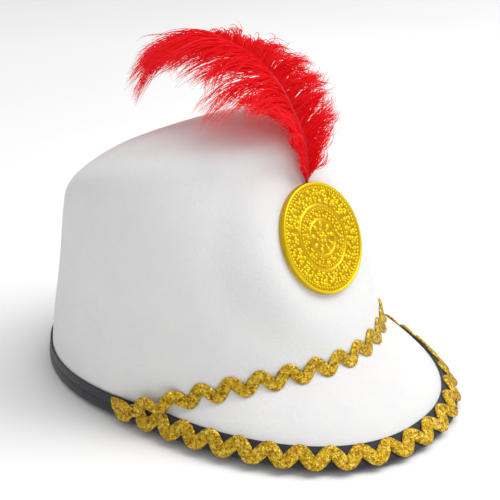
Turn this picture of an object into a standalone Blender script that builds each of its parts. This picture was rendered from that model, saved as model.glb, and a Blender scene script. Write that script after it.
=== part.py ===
"""Drum major hat: a hollow felt crown with a slanted top, a felt peak, a tape binding round the whole edge,
two wavy braids, a round badge in relief and one plume. Metres, +Z up, the peak points along -Y."""

import math

import bmesh
import bpy
import numpy as np

# Felt shell: reaches are measured from the middle of the head's oval to the outside of the felt
FELT = 0.0020
HALF_WIDTH = 0.0869
BACK_REACH = 0.1048
FRONT_REACH = 0.1007
CROWN_HEIGHT = 0.1418
TOP_SLANT = 0.281
TOP_RADIUS = 0.278
FRONT_POWER = 1.90
BACK_POWER = 2.10

# Peak and the seam that joins it to the crown
PEAK_REACH = 0.1386
PEAK_POWER = 2.28
PEAK_CAMBER = 0.0022
CREASE = 0.0034
CORNER_SETBACK = 0.0080
CORNER_RISE = 0.0022
SEAM_SIDE_HEIGHT = 0.0063
SEAM_FRONT_HEIGHT = 0.0336
SEAM_GAP = 0.0003

# Binding tape
TAPE = 0.0008
TAPE_WIDTH = 0.0105
CLEARANCE = 0.0003
TAPE_CLEARANCE = 0.0004

# Wavy braid
BRAID_STROKE = 0.0050
BRAID_SWING = 0.0029
BRAID_WAVE = 0.0148
BRAID_THICKNESS = 0.0012
SEAM_BRAID_START = 0.0120
PEAK_BRAID_START = 0.0040
BRAID_LAP = 0.0170
BRAID_CLEARANCE = 0.0005

# Badge
BADGE_RADIUS = 0.0284
BADGE_HEIGHT = 0.0902
BADGE_THICKNESS = 0.0034
BADGE_RELIEF = 0.0012
SEAT_DEPTH = 0.0018
SEAT_BLEND = 0.0300

# Plume
QUILL_RADIUS = 0.0009
QUILL_SEATED = 0.0140
PLUME_SIDE = 0.0030
PLUME_SWEEP = 0.1214
PLUME_RISE = 0.0626
LOCK_LENGTH = 0.0400
LOCK_HALF_WIDTH = 0.0064
LOCK_HALF_THICKNESS = 0.0013

# Mesh density
FRONT_COLUMNS = 41
BACK_COLUMNS = 17
WALL_ROWS = 5
TOP_ROWS = 5
PEAK_ROWS = 6
SAMPLES_PER_WAVE = 6
BADGE_STEPS = 32
QUILL_STEPS = 14
LOCK_STEPS = 4
ROUND_SIDES = 6

# Rows from the rim plane to the middle of the top. height is a share of CROWN_HEIGHT, front, back and side of the
# three reaches, slant of the top's slant, and spread closes the section to a point
CROWN_TABLE = (
    # height, front, back, side, slant, spread
    (0.000, 1.000, 1.000, 1.000, 0.000, 1.000),
    (0.141, 0.938, 0.963, 0.997, 0.175, 1.000),
    (0.317, 0.847, 0.906, 0.990, 0.393, 1.000),
    (0.529, 0.713, 0.824, 0.975, 0.656, 1.000),
    (0.705, 0.583, 0.745, 0.957, 0.874, 1.000),
    (0.815, 0.510, 0.696, 0.946, 0.980, 0.998),
    (0.876, 0.500, 0.690, 0.944, 1.000, 0.973),
    (0.921, 0.500, 0.690, 0.944, 1.000, 0.896),
    (0.964, 0.500, 0.690, 0.944, 1.000, 0.713),
    (0.989, 0.500, 0.690, 0.944, 1.000, 0.471),
    (1.000, 0.500, 0.690, 0.944, 1.000, 0.000),
)
SHOULDER = 0.5

# The badge from its middle to its rim. radius is a share of BADGE_RADIUS, height and ripple are shares of
# BADGE_RELIEF, and waves is the number of ripples round the ring
BADGE_TABLE = (
    # radius, height, ripple, waves
    (0.00, 0.80, 0.00, 0),
    (0.09, 0.70, 0.00, 0),
    (0.15, 0.10, 0.00, 0),
    (0.27, 0.45, 0.30, 8),
    (0.40, 0.40, 0.30, 8),
    (0.45, 0.10, 0.00, 0),
    (0.50, 0.75, 0.00, 0),
    (0.56, 0.75, 0.00, 0),
    (0.61, 0.30, 0.20, 24),
    (0.70, 0.40, 0.25, 24),
    (0.79, 0.35, 0.25, 24),
    (0.86, 0.20, 0.00, 0),
    (0.89, 0.90, 0.00, 0),
    (0.96, 1.00, 0.00, 0),
    (1.00, 0.40, 0.00, 0),
)

# The quill above the badge: sweep is a share of PLUME_SWEEP towards the back, rise of PLUME_RISE
QUILL_TABLE = (
    # sweep, rise
    (0.000, 0.000),
    (0.005, 0.200),
    (0.025, 0.380),
    (0.080, 0.560),
    (0.140, 0.720),
    (0.215, 0.840),
    (0.300, 0.920),
    (0.400, 0.970),
    (0.500, 0.980),
    (0.620, 0.950),
)

# Pairs of locks of barbs on the quill: at is the share of the quill's free length where they grow, near and far are
# the lengths on the -X and +X sides as shares of LOCK_LENGTH. Splay points a lock sideways, lift away from the hat,
# and droop is how far it hangs over its length
LOCK_TABLE = (
    # at, near, far, splay, lift, droop
    (0.08, 0.40, 0.36, 0.80, 0.30, 0.10),
    (0.16, 0.62, 0.46, 0.86, 0.32, 0.25),
    (0.24, 0.80, 0.52, 0.88, 0.34, 0.40),
    (0.32, 0.95, 0.56, 0.90, 0.36, 0.52),
    (0.40, 1.08, 0.58, 0.90, 0.38, 0.62),
    (0.48, 1.18, 0.60, 0.88, 0.40, 0.70),
    (0.56, 1.22, 0.62, 0.84, 0.42, 0.74),
    (0.64, 1.22, 0.64, 0.78, 0.42, 0.74),
    (0.72, 1.18, 0.68, 0.70, 0.38, 0.70),
    (0.80, 1.10, 0.72, 0.60, 0.30, 0.62),
    (0.88, 1.00, 0.78, 0.44, 0.20, 0.54),
    (0.97, 0.90, 0.82, 0.20, 0.08, 0.46),
)


def smooth_rows(table, share):
    """Values of the table's columns at shares of its length, on a smooth curve through its rows."""
    rows = np.array(table, float)
    padded = np.vstack([2 * rows[0] - rows[1], rows, 2 * rows[-1] - rows[-2]])
    place = np.clip(np.asarray(share, float), 0, 1) * (len(rows) - 1)
    start = np.minimum(place.astype(int), len(rows) - 2)
    f = (place - start)[..., None]
    p0, p1, p2, p3 = (padded[start + k] for k in range(4))
    return 0.5 * (2 * p1 + (p2 - p0) * f + (2 * p0 - 5 * p1 + 4 * p2 - p3) * f**2 + (3 * p1 - p0 - 3 * p2 + p3) * f**3)


def unit(vectors):
    return vectors / np.maximum(np.linalg.norm(vectors, axis=-1, keepdims=True), 1e-12)


def ease(share):
    share = np.clip(share, 0, 1)
    return share * share * (3 - 2 * share)


def bare_crown(angle, share):
    """The crown's outside before the badge's seat is pressed in. Angle runs from the +X side to the back."""
    height, front, back, side, slant, spread = np.moveaxis(smooth_rows(CROWN_TABLE, share), -1, 0)
    front, back = FRONT_REACH * front, BACK_REACH * back
    cosine, sine = np.cos(angle), np.sin(angle)
    power = 2 / np.where(sine < 0, FRONT_POWER, BACK_POWER)
    x = HALF_WIDTH * side * spread * np.sign(cosine) * np.abs(cosine) ** power
    y = (back - front) / 2 + (back + front) / 2 * spread * np.sign(sine) * np.abs(sine) ** power
    z = CROWN_HEIGHT * height + slant * (-TOP_SLANT * y - y * y / (2 * TOP_RADIUS))
    return np.stack([x, y, z], -1)


def share_at_height(surface, angle, height, highest=SHOULDER):
    """The share of the crown's rows at which its wall reaches a height, found by halving."""
    low = np.zeros_like(angle)
    high = np.full_like(angle, highest)
    for _ in range(30):
        middle = (low + high) / 2
        point = surface(angle, middle)
        below = point[..., 2] < (height(point[..., 1]) if callable(height) else height)
        low, high = np.where(below, middle, low), np.where(below, high, middle)
    return (low + high) / 2


def badge_seat():
    """Centre, outward normal and upward direction of the flat seat that the badge presses into the front."""
    front = np.array([-math.pi / 2])
    share = share_at_height(bare_crown, front, BADGE_HEIGHT)
    step = 0.02
    below, point, above = (bare_crown(front, share + k * step)[0] for k in (-1, 0, 1))
    up = unit(above - below)
    normal = np.array([0.0, -up[2], up[1]])
    return point - SEAT_DEPTH * normal, normal, up


SEAT_CENTRE, SEAT_NORMAL, SEAT_UP = badge_seat()


def crown(angle, share):
    """The crown's outside, flat behind the badge."""
    point = bare_crown(angle, share)
    away = point - SEAT_CENTRE
    depth = away @ SEAT_NORMAL
    radius = np.hypot(away[..., 0], away @ SEAT_UP)
    weight = 1 - ease((radius - BADGE_RADIUS) / SEAT_BLEND)
    weight = weight * (1 - ease((share - 0.9 * SHOULDER) / (0.2 * SHOULDER)))
    weight = np.where(np.sin(angle) < 0, weight, 0)
    return point - (weight * depth)[..., None] * SEAT_NORMAL


def rim_height(y):
    """The edge stands on the surface at the back and at the peak's front, and arches a little to the corners."""
    flat = 0.6 * BACK_REACH
    behind = ease((flat - y) / (flat + CORNER_SETBACK))
    ahead = 1 - np.clip((-y - CORNER_SETBACK) / (PEAK_REACH - CORNER_SETBACK), 0, 1) ** 1.7
    return CORNER_RISE * np.where(y > -CORNER_SETBACK, behind, ahead)


def seam_height(y):
    share = np.clip(-y / (0.9 * FRONT_REACH), 0, 1)
    return SEAM_SIDE_HEIGHT + (SEAM_FRONT_HEIGHT - SEAM_SIDE_HEIGHT) * np.sin(math.pi / 2 * share**1.25)


def columns():
    """Angles of the front columns, from one corner of the peak to the other, and of the back columns."""
    middle = (BACK_REACH - FRONT_REACH) / 2
    share = (CORNER_SETBACK + middle) / ((BACK_REACH + FRONT_REACH) / 2)
    corner = math.asin(share ** (FRONT_POWER / 2))
    step = math.radians(2)
    even = np.linspace(-1, 1, FRONT_COLUMNS)
    spread = even * (1.3 - 0.3 * even**2)
    front = -math.pi / 2 + spread * (math.pi / 2 - corner)
    back = math.pi / 2 + np.linspace(-1, 1, BACK_COLUMNS) * (math.pi / 2 + corner - step)
    return front, back


def peak_profile(angle, rows):
    """Outside of the peak for each column, from the seam to the outer edge, and the same row by row."""
    share = share_at_height(crown, angle, lambda y: seam_height(y) - SEAM_GAP / 2)
    seam = crown(angle, share)
    down = unit(crown(angle, share - 0.01) - seam)
    front_reach = -seam[:, 1].min()
    forward = np.clip((-seam[:, 1] - CORNER_SETBACK) / (front_reach - CORNER_SETBACK), 0, 1)
    edge_y = CORNER_SETBACK + (PEAK_REACH - CORNER_SETBACK) * forward**1.25
    edge_x = HALF_WIDTH * np.clip(1 - (edge_y / PEAK_REACH) ** PEAK_POWER, 0, 1) ** (1 / PEAK_POWER)
    edge = np.stack([np.sign(seam[:, 0]) * edge_x, -edge_y, np.zeros_like(edge_x)], -1)
    rim = rim_height(edge[:, 1])
    fold = TAPE_CLEARANCE + TAPE
    for _ in range(4):
        run = unit(edge - seam)
        edge[:, 2] = rim + fold * -run[:, 2] + (FELT + fold) * np.hypot(run[:, 0], run[:, 1])
    length = np.linalg.norm(edge - seam, axis=1, keepdims=True)
    bend = np.minimum(CREASE, 0.35 * length)
    corner = seam + bend * down
    out = unit(edge - corner)
    leave = corner + bend * out
    sideways = unit(np.gradient(edge, axis=0))
    normal = unit(np.cross(sideways, out))
    normal *= np.sign(normal[:, 2:])
    camber = PEAK_CAMBER * length / length.max()
    grid = []
    for row in rows:
        if row < 0.3:
            f = row / 0.3
            grid.append((1 - f) ** 2 * seam + 2 * f * (1 - f) * corner + f * f * leave)
        else:
            f = (row - 0.3) / 0.7
            grid.append(leave + f * (edge - leave) + 4 * f * (1 - f) * camber * normal)
    return np.array(grid), share


class Skin:
    """The outside of the whole felt as seen from its edge: a point for each column and distance from the edge."""

    def __init__(self):
        front, back = columns()
        dense = np.linspace(0, 1, 25)
        slope, seam_share = peak_profile(front, dense[::-1])
        climb = np.linspace(0, 1, 14)[1:, None]
        wall = np.array([crown(front, seam_share + 0.14 * c) for c in climb[:, 0]])
        front_lines = np.concatenate([slope, wall])
        fold = TAPE_CLEARANCE + TAPE
        back_share = share_at_height(crown, back, fold)
        run = unit(crown(back, back_share + 0.01) - crown(back, back_share))
        lean = fold * run[:, 2] + (FELT + fold) * np.hypot(run[:, 0], run[:, 1])
        back_share = share_at_height(crown, back, lambda y: rim_height(y) + lean)
        back_lines = np.array([crown(back, back_share + 0.16 * c) for c in np.linspace(0, 1, len(front_lines))])
        self.angles = np.concatenate([front, back])
        self.lines = np.concatenate([front_lines, back_lines], axis=1)
        steps = np.linalg.norm(np.diff(self.lines, axis=0), axis=2)
        self.distance = np.vstack([np.zeros(len(self.angles)), np.cumsum(steps, axis=0)])
        self.seam = np.concatenate([self.distance[len(dense) - 1, : len(front)], np.zeros(len(back))])
        self.front_count = len(front)
        self.back_share = back_share
        self.seam_share = seam_share

    def column_point(self, column, distance):
        column = int(column) % len(self.angles)
        known = self.distance[:, column]
        line = self.lines[:, column]
        near = max(distance, 0)
        at = [[np.interp(d, known, line[:, k]) for k in range(3)] for d in (near - 0.001, near, near + 0.001)]
        beyond = unit(np.array(at[2]) - np.array(at[0]))
        return np.array(at[1]) + min(distance, 0) * beyond, beyond

    def point(self, place, distance):
        """Point and outward normal at a place between columns, both whole numbers and fractions."""
        first = math.floor(place)
        f = place - first
        a, along_a = self.column_point(first, distance)
        b, along_b = self.column_point(first + 1, distance)
        around = b - a
        position = a + f * around
        before, _ = self.column_point(first - 1, distance)
        after, _ = self.column_point(first + 2, distance)
        around = (1 - f) * (b - before) + f * (after - a)
        normal = np.cross(around, along_a + f * (along_b - along_a))
        return position, unit(normal)


SKIN = Skin()


def srgb(value):
    value = value / 255
    return value / 12.92 if value <= 0.04045 else ((value + 0.055) / 1.055) ** 2.4


def material(name, colour, roughness, metallic=0.0):
    made = bpy.data.materials.new(name)
    made.use_nodes = True
    shader = made.node_tree.nodes["Principled BSDF"]
    shader.inputs["Base Color"].default_value = (*(srgb(int(colour[k : k + 2], 16)) for k in (1, 3, 5)), 1)
    shader.inputs["Roughness"].default_value = roughness
    shader.inputs["Metallic"].default_value = metallic
    made.diffuse_color = shader.inputs["Base Color"].default_value
    return made


def new_object(name, mesh, collection, parent, finish):
    made = bpy.data.objects.new(name, mesh)
    collection.objects.link(made)
    made.parent = parent
    mesh.materials.clear()
    mesh.materials.append(finish)
    mesh.shade_smooth()
    mesh.set_sharp_from_angle(angle=math.radians(35))
    return made


def mesh_of(name, points, faces, merge=0.0):
    mesh = bpy.data.meshes.new(name)
    mesh.from_pydata([tuple(point) for point in points], [], faces)
    work = bmesh.new()
    work.from_mesh(mesh)
    if merge:
        bmesh.ops.remove_doubles(work, verts=work.verts, dist=merge)
    bmesh.ops.recalc_face_normals(work, faces=work.faces)
    work.to_mesh(mesh)
    work.free()
    return mesh


def sheet_mesh(name, grid, closed):
    """An open surface from rows of points. Closed joins each row's end to its start."""
    rows, count = grid.shape[:2]
    across = count if closed else count - 1
    faces = [
        (r * count + c, r * count + (c + 1) % count, (r + 1) * count + (c + 1) % count, (r + 1) * count + c)
        for r in range(rows - 1)
        for c in range(across)
    ]
    return mesh_of(name, grid.reshape(-1, 3), faces, merge=1e-6)


def swept_mesh(name, sections, closed):
    """A solid through sections of points. Closed joins the last to the first, or else both ends are capped."""
    count, size = sections.shape[:2]
    spans = count if closed else count - 1
    faces = [
        (
            s * size + k,
            s * size + (k + 1) % size,
            (s + 1) % count * size + (k + 1) % size,
            (s + 1) % count * size + k,
        )
        for s in range(spans)
        for k in range(size)
    ]
    if not closed:
        faces += [tuple(range(size)), tuple((count - 1) * size + k for k in reversed(range(size)))]
    return mesh_of(name, sections.reshape(-1, 3), faces)


def face_outwards(mesh, inside):
    """Turns an open sheet round where its first face looks at a point inside the hat."""
    face = mesh.polygons[0]
    if (np.array(face.center) - inside) @ np.array(face.normal) < 0:
        mesh.flip_normals()


def thicken(made):
    wall = made.modifiers.new("felt", "SOLIDIFY")
    wall.thickness = FELT
    wall.offset = -1
    wall.use_even_offset = True
    wall.use_rim = True


def make_crown(collection, parent, finish):
    front, back = columns()
    low_front = share_at_height(crown, front, lambda y: seam_height(y) + SEAM_GAP / 2)
    low = np.concatenate([low_front, SKIN.back_share])
    angles = np.concatenate([front, back])
    rows = [crown(angles, low + (SHOULDER - low) * row / WALL_ROWS) for row in range(WALL_ROWS)]
    rows += [crown(angles, np.full_like(angles, s)) for s in np.linspace(SHOULDER, 1, TOP_ROWS + 1)]
    mesh = sheet_mesh("crown", np.array(rows), closed=True)
    face_outwards(mesh, np.array([0, 0, CROWN_HEIGHT / 2]))
    made = new_object("crown", mesh, collection, parent, finish)
    thicken(made)


def make_peak(collection, parent, finish):
    front, _ = columns()
    rows = np.concatenate([[0, 0.1, 0.2, 0.3], np.linspace(0.3, 1, PEAK_ROWS - 2)[1:]])
    grid, _ = peak_profile(front, rows)
    mesh = sheet_mesh("peak", grid, closed=False)
    face_outwards(mesh, np.array([0, 0, -CROWN_HEIGHT]))
    made = new_object("peak", mesh, collection, parent, finish)
    thicken(made)


def make_binding(collection, parent, finish):
    """Tape folded round the felt: distance runs up from the edge, lift out from the felt's outside."""
    near = TAPE_CLEARANCE
    far = TAPE_CLEARANCE + TAPE
    chamfer = 0.6 * TAPE
    legs = [TAPE_WIDTH * share for share in (1.0, 0.75, 0.5, 0.25)]
    outline = [(TAPE_WIDTH, near)]
    outline += [(distance, far) for distance in legs]
    outline += [
        (chamfer - far, far),
        (-far, far - chamfer),
        (-far, chamfer - far - FELT),
        (chamfer - far, -far - FELT),
    ]
    fold = slice(len(legs) + 2, len(legs) + 4)
    outline += [(distance, -far - FELT) for distance in legs[::-1]]
    outline += [(distance, -near - FELT) for distance in legs]
    outline += [(-near, -near - FELT), (-near, near)]
    outline += [(distance, near) for distance in legs[:0:-1]]
    sections = []
    for column in range(len(SKIN.angles)):
        section = []
        for distance, lift in outline:
            point, normal = SKIN.point(column, distance)
            section.append(point + lift * normal)
        sections.append(section)
    sections = np.array(sections)
    resting = SKIN.lines[0, :, 1] > 0.6 * BACK_REACH
    sections[resting, fold, 2] = 0
    mesh = swept_mesh("edge_binding", sections, closed=True)
    new_object("edge_binding", mesh, collection, parent, finish)


def wave_edges(samples):
    """Upper and lower edge of a wavy stroke: the outline of a disc carried along a sine."""
    half = BRAID_STROKE / 2
    reach = np.linspace(-half, half, 41) * 0.999
    around = samples[:, None] + reach
    line = BRAID_SWING * np.sin(2 * math.pi * around / BRAID_WAVE)
    bulge = np.sqrt(half**2 - reach**2)
    return (line + bulge).max(axis=1), (line - bulge).min(axis=1)


def make_braid(name, distance_of, start, lift_of, collection, parent, finish):
    """A wavy braid along the felt's front, from start behind one corner of the peak to the same at the other."""
    fine = np.linspace(-3, SKIN.front_count + 2, 600)
    path = np.array([SKIN.point(place, distance_of(place))[0] for place in fine])
    length = np.concatenate([[0], np.cumsum(np.linalg.norm(np.diff(path, axis=0), axis=1))])
    ends = [np.interp(v, fine, length) for v in (0, SKIN.front_count - 1)]
    first = ends[0] + start
    waves = round((ends[1] - start - first) / BRAID_WAVE)
    stretch = (ends[1] - start - first) / (waves * BRAID_WAVE)
    phase = (np.arange(waves * SAMPLES_PER_WAVE + 1) / SAMPLES_PER_WAVE + 1 / 12) * BRAID_WAVE
    upper, lower = wave_edges(phase)
    sections = []
    for sample in range(len(phase)):
        along = first + (phase[sample] - phase[0]) * stretch
        place = np.interp(along, length, fine)
        centre, normal = SKIN.point(place, distance_of(place))
        ahead, _ = SKIN.point(place + 0.05, distance_of(place + 0.05))
        tangent = unit(ahead - centre)
        above, _ = SKIN.point(place, distance_of(place) + 0.001)
        climb = unit(above - centre)
        skew = climb @ tangent
        straight = math.sqrt(max(1 - skew * skew, 0.2))
        lift = lift_of(place)
        section = []
        middle = (upper[sample] + lower[sample]) / 2
        for across, height in (
            (lower[sample], 0),
            (0.8 * lower[sample] + 0.2 * middle, BRAID_THICKNESS),
            (0.8 * upper[sample] + 0.2 * middle, BRAID_THICKNESS),
            (upper[sample], 0),
        ):
            beside = np.interp(along - across * skew / straight, length, fine)
            point, normal = SKIN.point(beside, distance_of(beside) + across / straight)
            section.append(point + (lift + height) * normal)
        sections.append(section)
    mesh = swept_mesh(name, np.array(sections), closed=False)
    new_object(name, mesh, collection, parent, finish)


def make_braids(collection, parent, finish):
    def on_seam(place):
        column = np.clip(place, 0, SKIN.front_count - 1)
        return np.interp(column, np.arange(SKIN.front_count), SKIN.seam[: SKIN.front_count])

    def on_edge(_place):
        return TAPE_WIDTH / 2

    on_tape = TAPE_CLEARANCE + TAPE + BRAID_CLEARANCE
    over_both = on_tape + BRAID_THICKNESS + 2 * BRAID_CLEARANCE

    def seam_lift(place):
        leaving = ease((on_seam(place) - BRAID_LAP) / (BRAID_LAP / 3))
        return over_both + (CLEARANCE - over_both) * leaving

    make_braid("seam_braid", on_seam, SEAM_BRAID_START - CORNER_SETBACK, seam_lift, collection, parent, finish)
    make_braid("peak_braid", on_edge, PEAK_BRAID_START - CORNER_SETBACK, lambda _: on_tape, collection, parent, finish)


def seat_matrix():
    """Turns a shape with its axis on +Z and its top on +Y onto the badge's seat."""
    from mathutils import Matrix

    right = np.cross(SEAT_UP, SEAT_NORMAL)
    turn = Matrix([[right[k], SEAT_UP[k], SEAT_NORMAL[k]] for k in range(3)]).to_4x4()
    return Matrix.Translation(SEAT_CENTRE) @ turn


def turned_mesh(name, profile, steps):
    """A closed turned shape about Z from a profile of (radius, height) that runs down its outer side."""
    mesh = bpy.data.meshes.new(name)
    mesh.from_pydata([(r, 0, z) for r, z in profile], [(k, k + 1) for k in range(len(profile) - 1)], [])
    made = bpy.data.objects.new(name, mesh)
    bpy.context.scene.collection.objects.link(made)
    screw = made.modifiers.new("turn", "SCREW")
    screw.steps = steps
    screw.render_steps = steps
    screw.use_merge_vertices = True
    screw.merge_threshold = 1e-6
    graph = bpy.context.evaluated_depsgraph_get()
    turned = bpy.data.meshes.new_from_object(made.evaluated_get(graph))
    bpy.data.objects.remove(made)
    work = bmesh.new()
    work.from_mesh(turned)
    bmesh.ops.remove_doubles(work, verts=work.verts, dist=1e-6)
    bmesh.ops.recalc_face_normals(work, faces=work.faces)
    work.to_mesh(turned)
    work.free()
    return turned


def make_badge(collection, helpers, parent, finish):
    face = BADGE_THICKNESS - BADGE_RELIEF
    profile = [(BADGE_RADIUS * r, face + BADGE_RELIEF * h) for r, h, _, _ in BADGE_TABLE]
    profile += [(BADGE_RADIUS, CLEARANCE), (0, CLEARANCE)]
    mesh = turned_mesh("badge", profile, BADGE_STEPS)
    for vertex in mesh.vertices:
        radius = math.hypot(vertex.co.x, vertex.co.y) / BADGE_RADIUS
        angle = math.atan2(vertex.co.y, vertex.co.x)
        for ring, _, ripple, waves in BADGE_TABLE:
            if ripple and abs(radius - ring) < 0.01 and vertex.co.z > face:
                vertex.co.z += BADGE_RELIEF * ripple * math.cos(waves * angle)
    made = new_object("badge", mesh, collection, parent, finish)
    made.matrix_local = seat_matrix()
    path = quill_path()
    path[0] -= CLEARANCE * SEAT_UP
    channel = tube("quill_channel", path, lambda _: QUILL_RADIUS + CLEARANCE, ROUND_SIDES)
    cutter = bpy.data.objects.new("quill_channel", channel)
    helpers.objects.link(cutter)
    cutter.parent = parent
    cutter.hide_render = True
    cutter.display_type = "WIRE"
    groove = made.modifiers.new("quill_channel", "BOOLEAN")
    groove.object = cutter


def quill_path():
    """Middle of the quill, from its seated end behind the badge to the plume's top."""
    out = QUILL_RADIUS + CLEARANCE
    side = np.array([PLUME_SIDE, 0, 0])
    base = SEAT_CENTRE + side + out * SEAT_NORMAL
    seated = [base + (BADGE_RADIUS - QUILL_SEATED * k) * SEAT_UP for k in (1, 0.5, 0)]
    rows = smooth_rows(QUILL_TABLE, np.linspace(0, 1, QUILL_STEPS + 1)[1:])
    above = [seated[-1] + np.array([0, sweep * PLUME_SWEEP, rise * PLUME_RISE]) for sweep, rise in rows]
    return np.array(seated + above)


def tube(name, path, radius_of, sides):
    """A tapered round bar along a path, closed at both ends."""
    tangent = unit(np.gradient(path, axis=0))
    steady = np.array([1.0, 0.03, 0.02])
    first = unit(np.cross(tangent, steady))
    second = unit(np.cross(tangent, first))
    turn = 2 * math.pi * np.arange(sides) / sides
    share = np.linspace(0, 1, len(path))
    sections = [
        path[k] + radius_of(share[k]) * (np.cos(turn)[:, None] * first[k] + np.sin(turn)[:, None] * second[k])
        for k in range(len(path))
    ]
    return swept_mesh(name, np.array(sections), closed=False)


def lock_mesh(root, tangent, side, length, splay, lift, droop):
    """A flat tapered lock that leaves the quill sideways and away from the hat, then hangs."""
    share = np.linspace(0, 1, LOCK_STEPS + 1)[:, None]
    away = np.array([0, -tangent[2], tangent[1]])
    start = unit(tangent * math.sqrt(max(1 - splay**2 - lift**2, 0)) + side * splay * np.array([1, 0, 0]) + lift * away)
    line = root + length * (share * start + droop * share**2 * np.array([0, 0, -1.0]))
    along = unit(np.gradient(line, axis=0))
    broad = unit(tangent - (along @ tangent)[:, None] * along + 1e-6 * away)
    thin = np.cross(along, broad)
    width = LOCK_HALF_WIDTH * (0.25 + 1.9 * np.sqrt(share) * (1 - share) ** 0.8)
    depth = LOCK_HALF_THICKNESS * (0.45 + 0.9 * np.sqrt(share) * (1 - share) ** 0.8)
    turn = 2 * math.pi * (np.arange(ROUND_SIDES) + 0.5) / ROUND_SIDES
    around = np.cos(turn)[:, None, None] * (width * broad) + np.sin(turn)[:, None, None] * (depth * thin)
    return swept_mesh("lock", line[:, None] + around.swapaxes(0, 1), closed=False)


def make_plume(collection, helpers, parent, finish):
    path = quill_path()
    quill = tube("plume", path, lambda share: QUILL_RADIUS * (1 - 0.5 * share), ROUND_SIDES)
    made = new_object("plume", quill, collection, parent, finish)
    locks = bpy.data.collections.new("plume_locks")
    helpers.children.link(locks)
    length = np.concatenate([[0], np.cumsum(np.linalg.norm(np.diff(path, axis=0), axis=1))])
    tangents = unit(np.gradient(path, axis=0))
    free = length[2]
    for row, (at, near, far, splay, lift, droop) in enumerate(LOCK_TABLE):
        along = free + at * (length[-1] - free)
        root = np.array([np.interp(along, length, path[:, k]) for k in range(3)])
        tangent = unit(np.array([np.interp(along, length, tangents[:, k]) for k in range(3)]))
        for side, reach in ((-1, near), (1, far)):
            mesh = lock_mesh(root, tangent, side, reach * LOCK_LENGTH, splay, lift, droop)
            lock = bpy.data.objects.new(f"lock_{row}_{'near' if side < 0 else 'far'}", mesh)
            locks.objects.link(lock)
            lock.parent = parent
            lock.hide_render = True
            lock.display_type = "WIRE"
    fuse = made.modifiers.new("locks", "BOOLEAN")
    fuse.operation = "UNION"
    fuse.operand_type = "COLLECTION"
    fuse.collection = locks


def build():
    for old in list(bpy.data.objects):
        bpy.data.objects.remove(old)
    scene = bpy.context.scene.collection
    hat = bpy.data.collections.new("drum_major_hat")
    helpers = bpy.data.collections.new("helpers")
    scene.children.link(hat)
    scene.children.link(helpers)
    helpers.hide_render = True
    head = bpy.data.objects.new("head_centre", None)
    hat.objects.link(head)
    outer = TAPE_CLEARANCE + TAPE
    head.location = (0, ((PEAK_REACH + outer) - (BACK_REACH + outer)) / 2, 0)
    felt = material("white_felt", "#E4E4E6", 0.95)
    tape = material("dark_tape", "#2A2D38", 0.60)
    gold_braid = material("gold_braid", "#B3912F", 0.45, 0.8)
    gold_badge = material("gold_badge", "#DFBE2D", 0.30, 0.9)
    feather = material("red_feather", "#D9222F", 0.80)
    make_crown(hat, head, felt)
    make_peak(hat, head, felt)
    make_binding(hat, head, tape)
    make_braids(hat, head, gold_braid)
    make_badge(hat, helpers, head, gold_badge)
    make_plume(hat, helpers, head, feather)


build()
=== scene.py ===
import math

import bmesh
import bpy
import numpy as np
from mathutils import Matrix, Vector


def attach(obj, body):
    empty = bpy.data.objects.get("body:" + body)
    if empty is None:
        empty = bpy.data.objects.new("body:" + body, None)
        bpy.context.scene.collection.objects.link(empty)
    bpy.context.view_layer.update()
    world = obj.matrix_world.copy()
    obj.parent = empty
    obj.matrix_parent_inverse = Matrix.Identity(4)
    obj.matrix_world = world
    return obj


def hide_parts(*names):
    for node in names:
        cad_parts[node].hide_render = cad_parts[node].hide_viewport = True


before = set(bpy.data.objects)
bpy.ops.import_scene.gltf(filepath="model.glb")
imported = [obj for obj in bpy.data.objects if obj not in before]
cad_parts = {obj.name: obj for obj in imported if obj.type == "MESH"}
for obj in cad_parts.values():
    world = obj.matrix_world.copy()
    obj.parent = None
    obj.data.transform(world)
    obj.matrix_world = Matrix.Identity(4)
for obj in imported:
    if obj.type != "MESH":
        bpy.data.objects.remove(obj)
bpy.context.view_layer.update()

# Camera: the photo's angle, worked out from the hat's outline. Lengths in metres
VIEW_AZIMUTH = math.radians(-48.74)
VIEW_ELEVATION = math.radians(23.14)
VIEW_DISTANCE = 0.55535
VIEW_TARGET = Vector((0.00014, -0.00327, 0.07002))
LENS_MM = 75.08
SENSOR_MM = 36.0
NEAR_CLIP = 0.01

# Studio: each lamp is a disk
WORLD_STRENGTH = 0.55
LAMPS = (
    # name, place, width, power in watts
    ("key", (1.05, -1.05, 1.6), 1.2, 17.0),
    ("fill", (-1.4, -0.6, 0.9), 1.4, 0.8),
    ("top", (0.5, -0.5, 1.8), 1.6, 14.0),
)
LAMP_TARGET = Vector((0, 0, 0.08))
FLOOR_REACH = 6.0

# Felt shell, as in the solid: reaches from the middle of the head's oval to the outside of the felt
FELT = 0.0020
HALF_WIDTH = 0.0869
BACK_REACH = 0.1048
FRONT_REACH = 0.1007
CROWN_HEIGHT = 0.1418
TOP_SLANT = 0.281
TOP_RADIUS = 0.278
FRONT_POWER = 1.90
BACK_POWER = 2.10
FELT_WAVE = 0.00035

# Peak and seam
PEAK_REACH = 0.1386
PEAK_POWER = 2.28
PEAK_CAMBER = 0.0022
CREASE = 0.0034
CORNER_SETBACK = 0.0080
CORNER_RISE = 0.0022
SEAM_SIDE_HEIGHT = 0.0063
SEAM_FRONT_HEIGHT = 0.0336
SEAM_GAP = 0.0003

# Shares and powers of the lines of rim, seam and peak, as in the solid
RIM_FLAT = 0.6
RIM_POWER = 1.7
SEAM_SPREAD = 0.9
SEAM_POWER = 1.25
EDGE_POWER = 1.25
BEND_SHARE = 0.35
BEND_ROWS = 0.3
SHARE_STEP = 0.01

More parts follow.
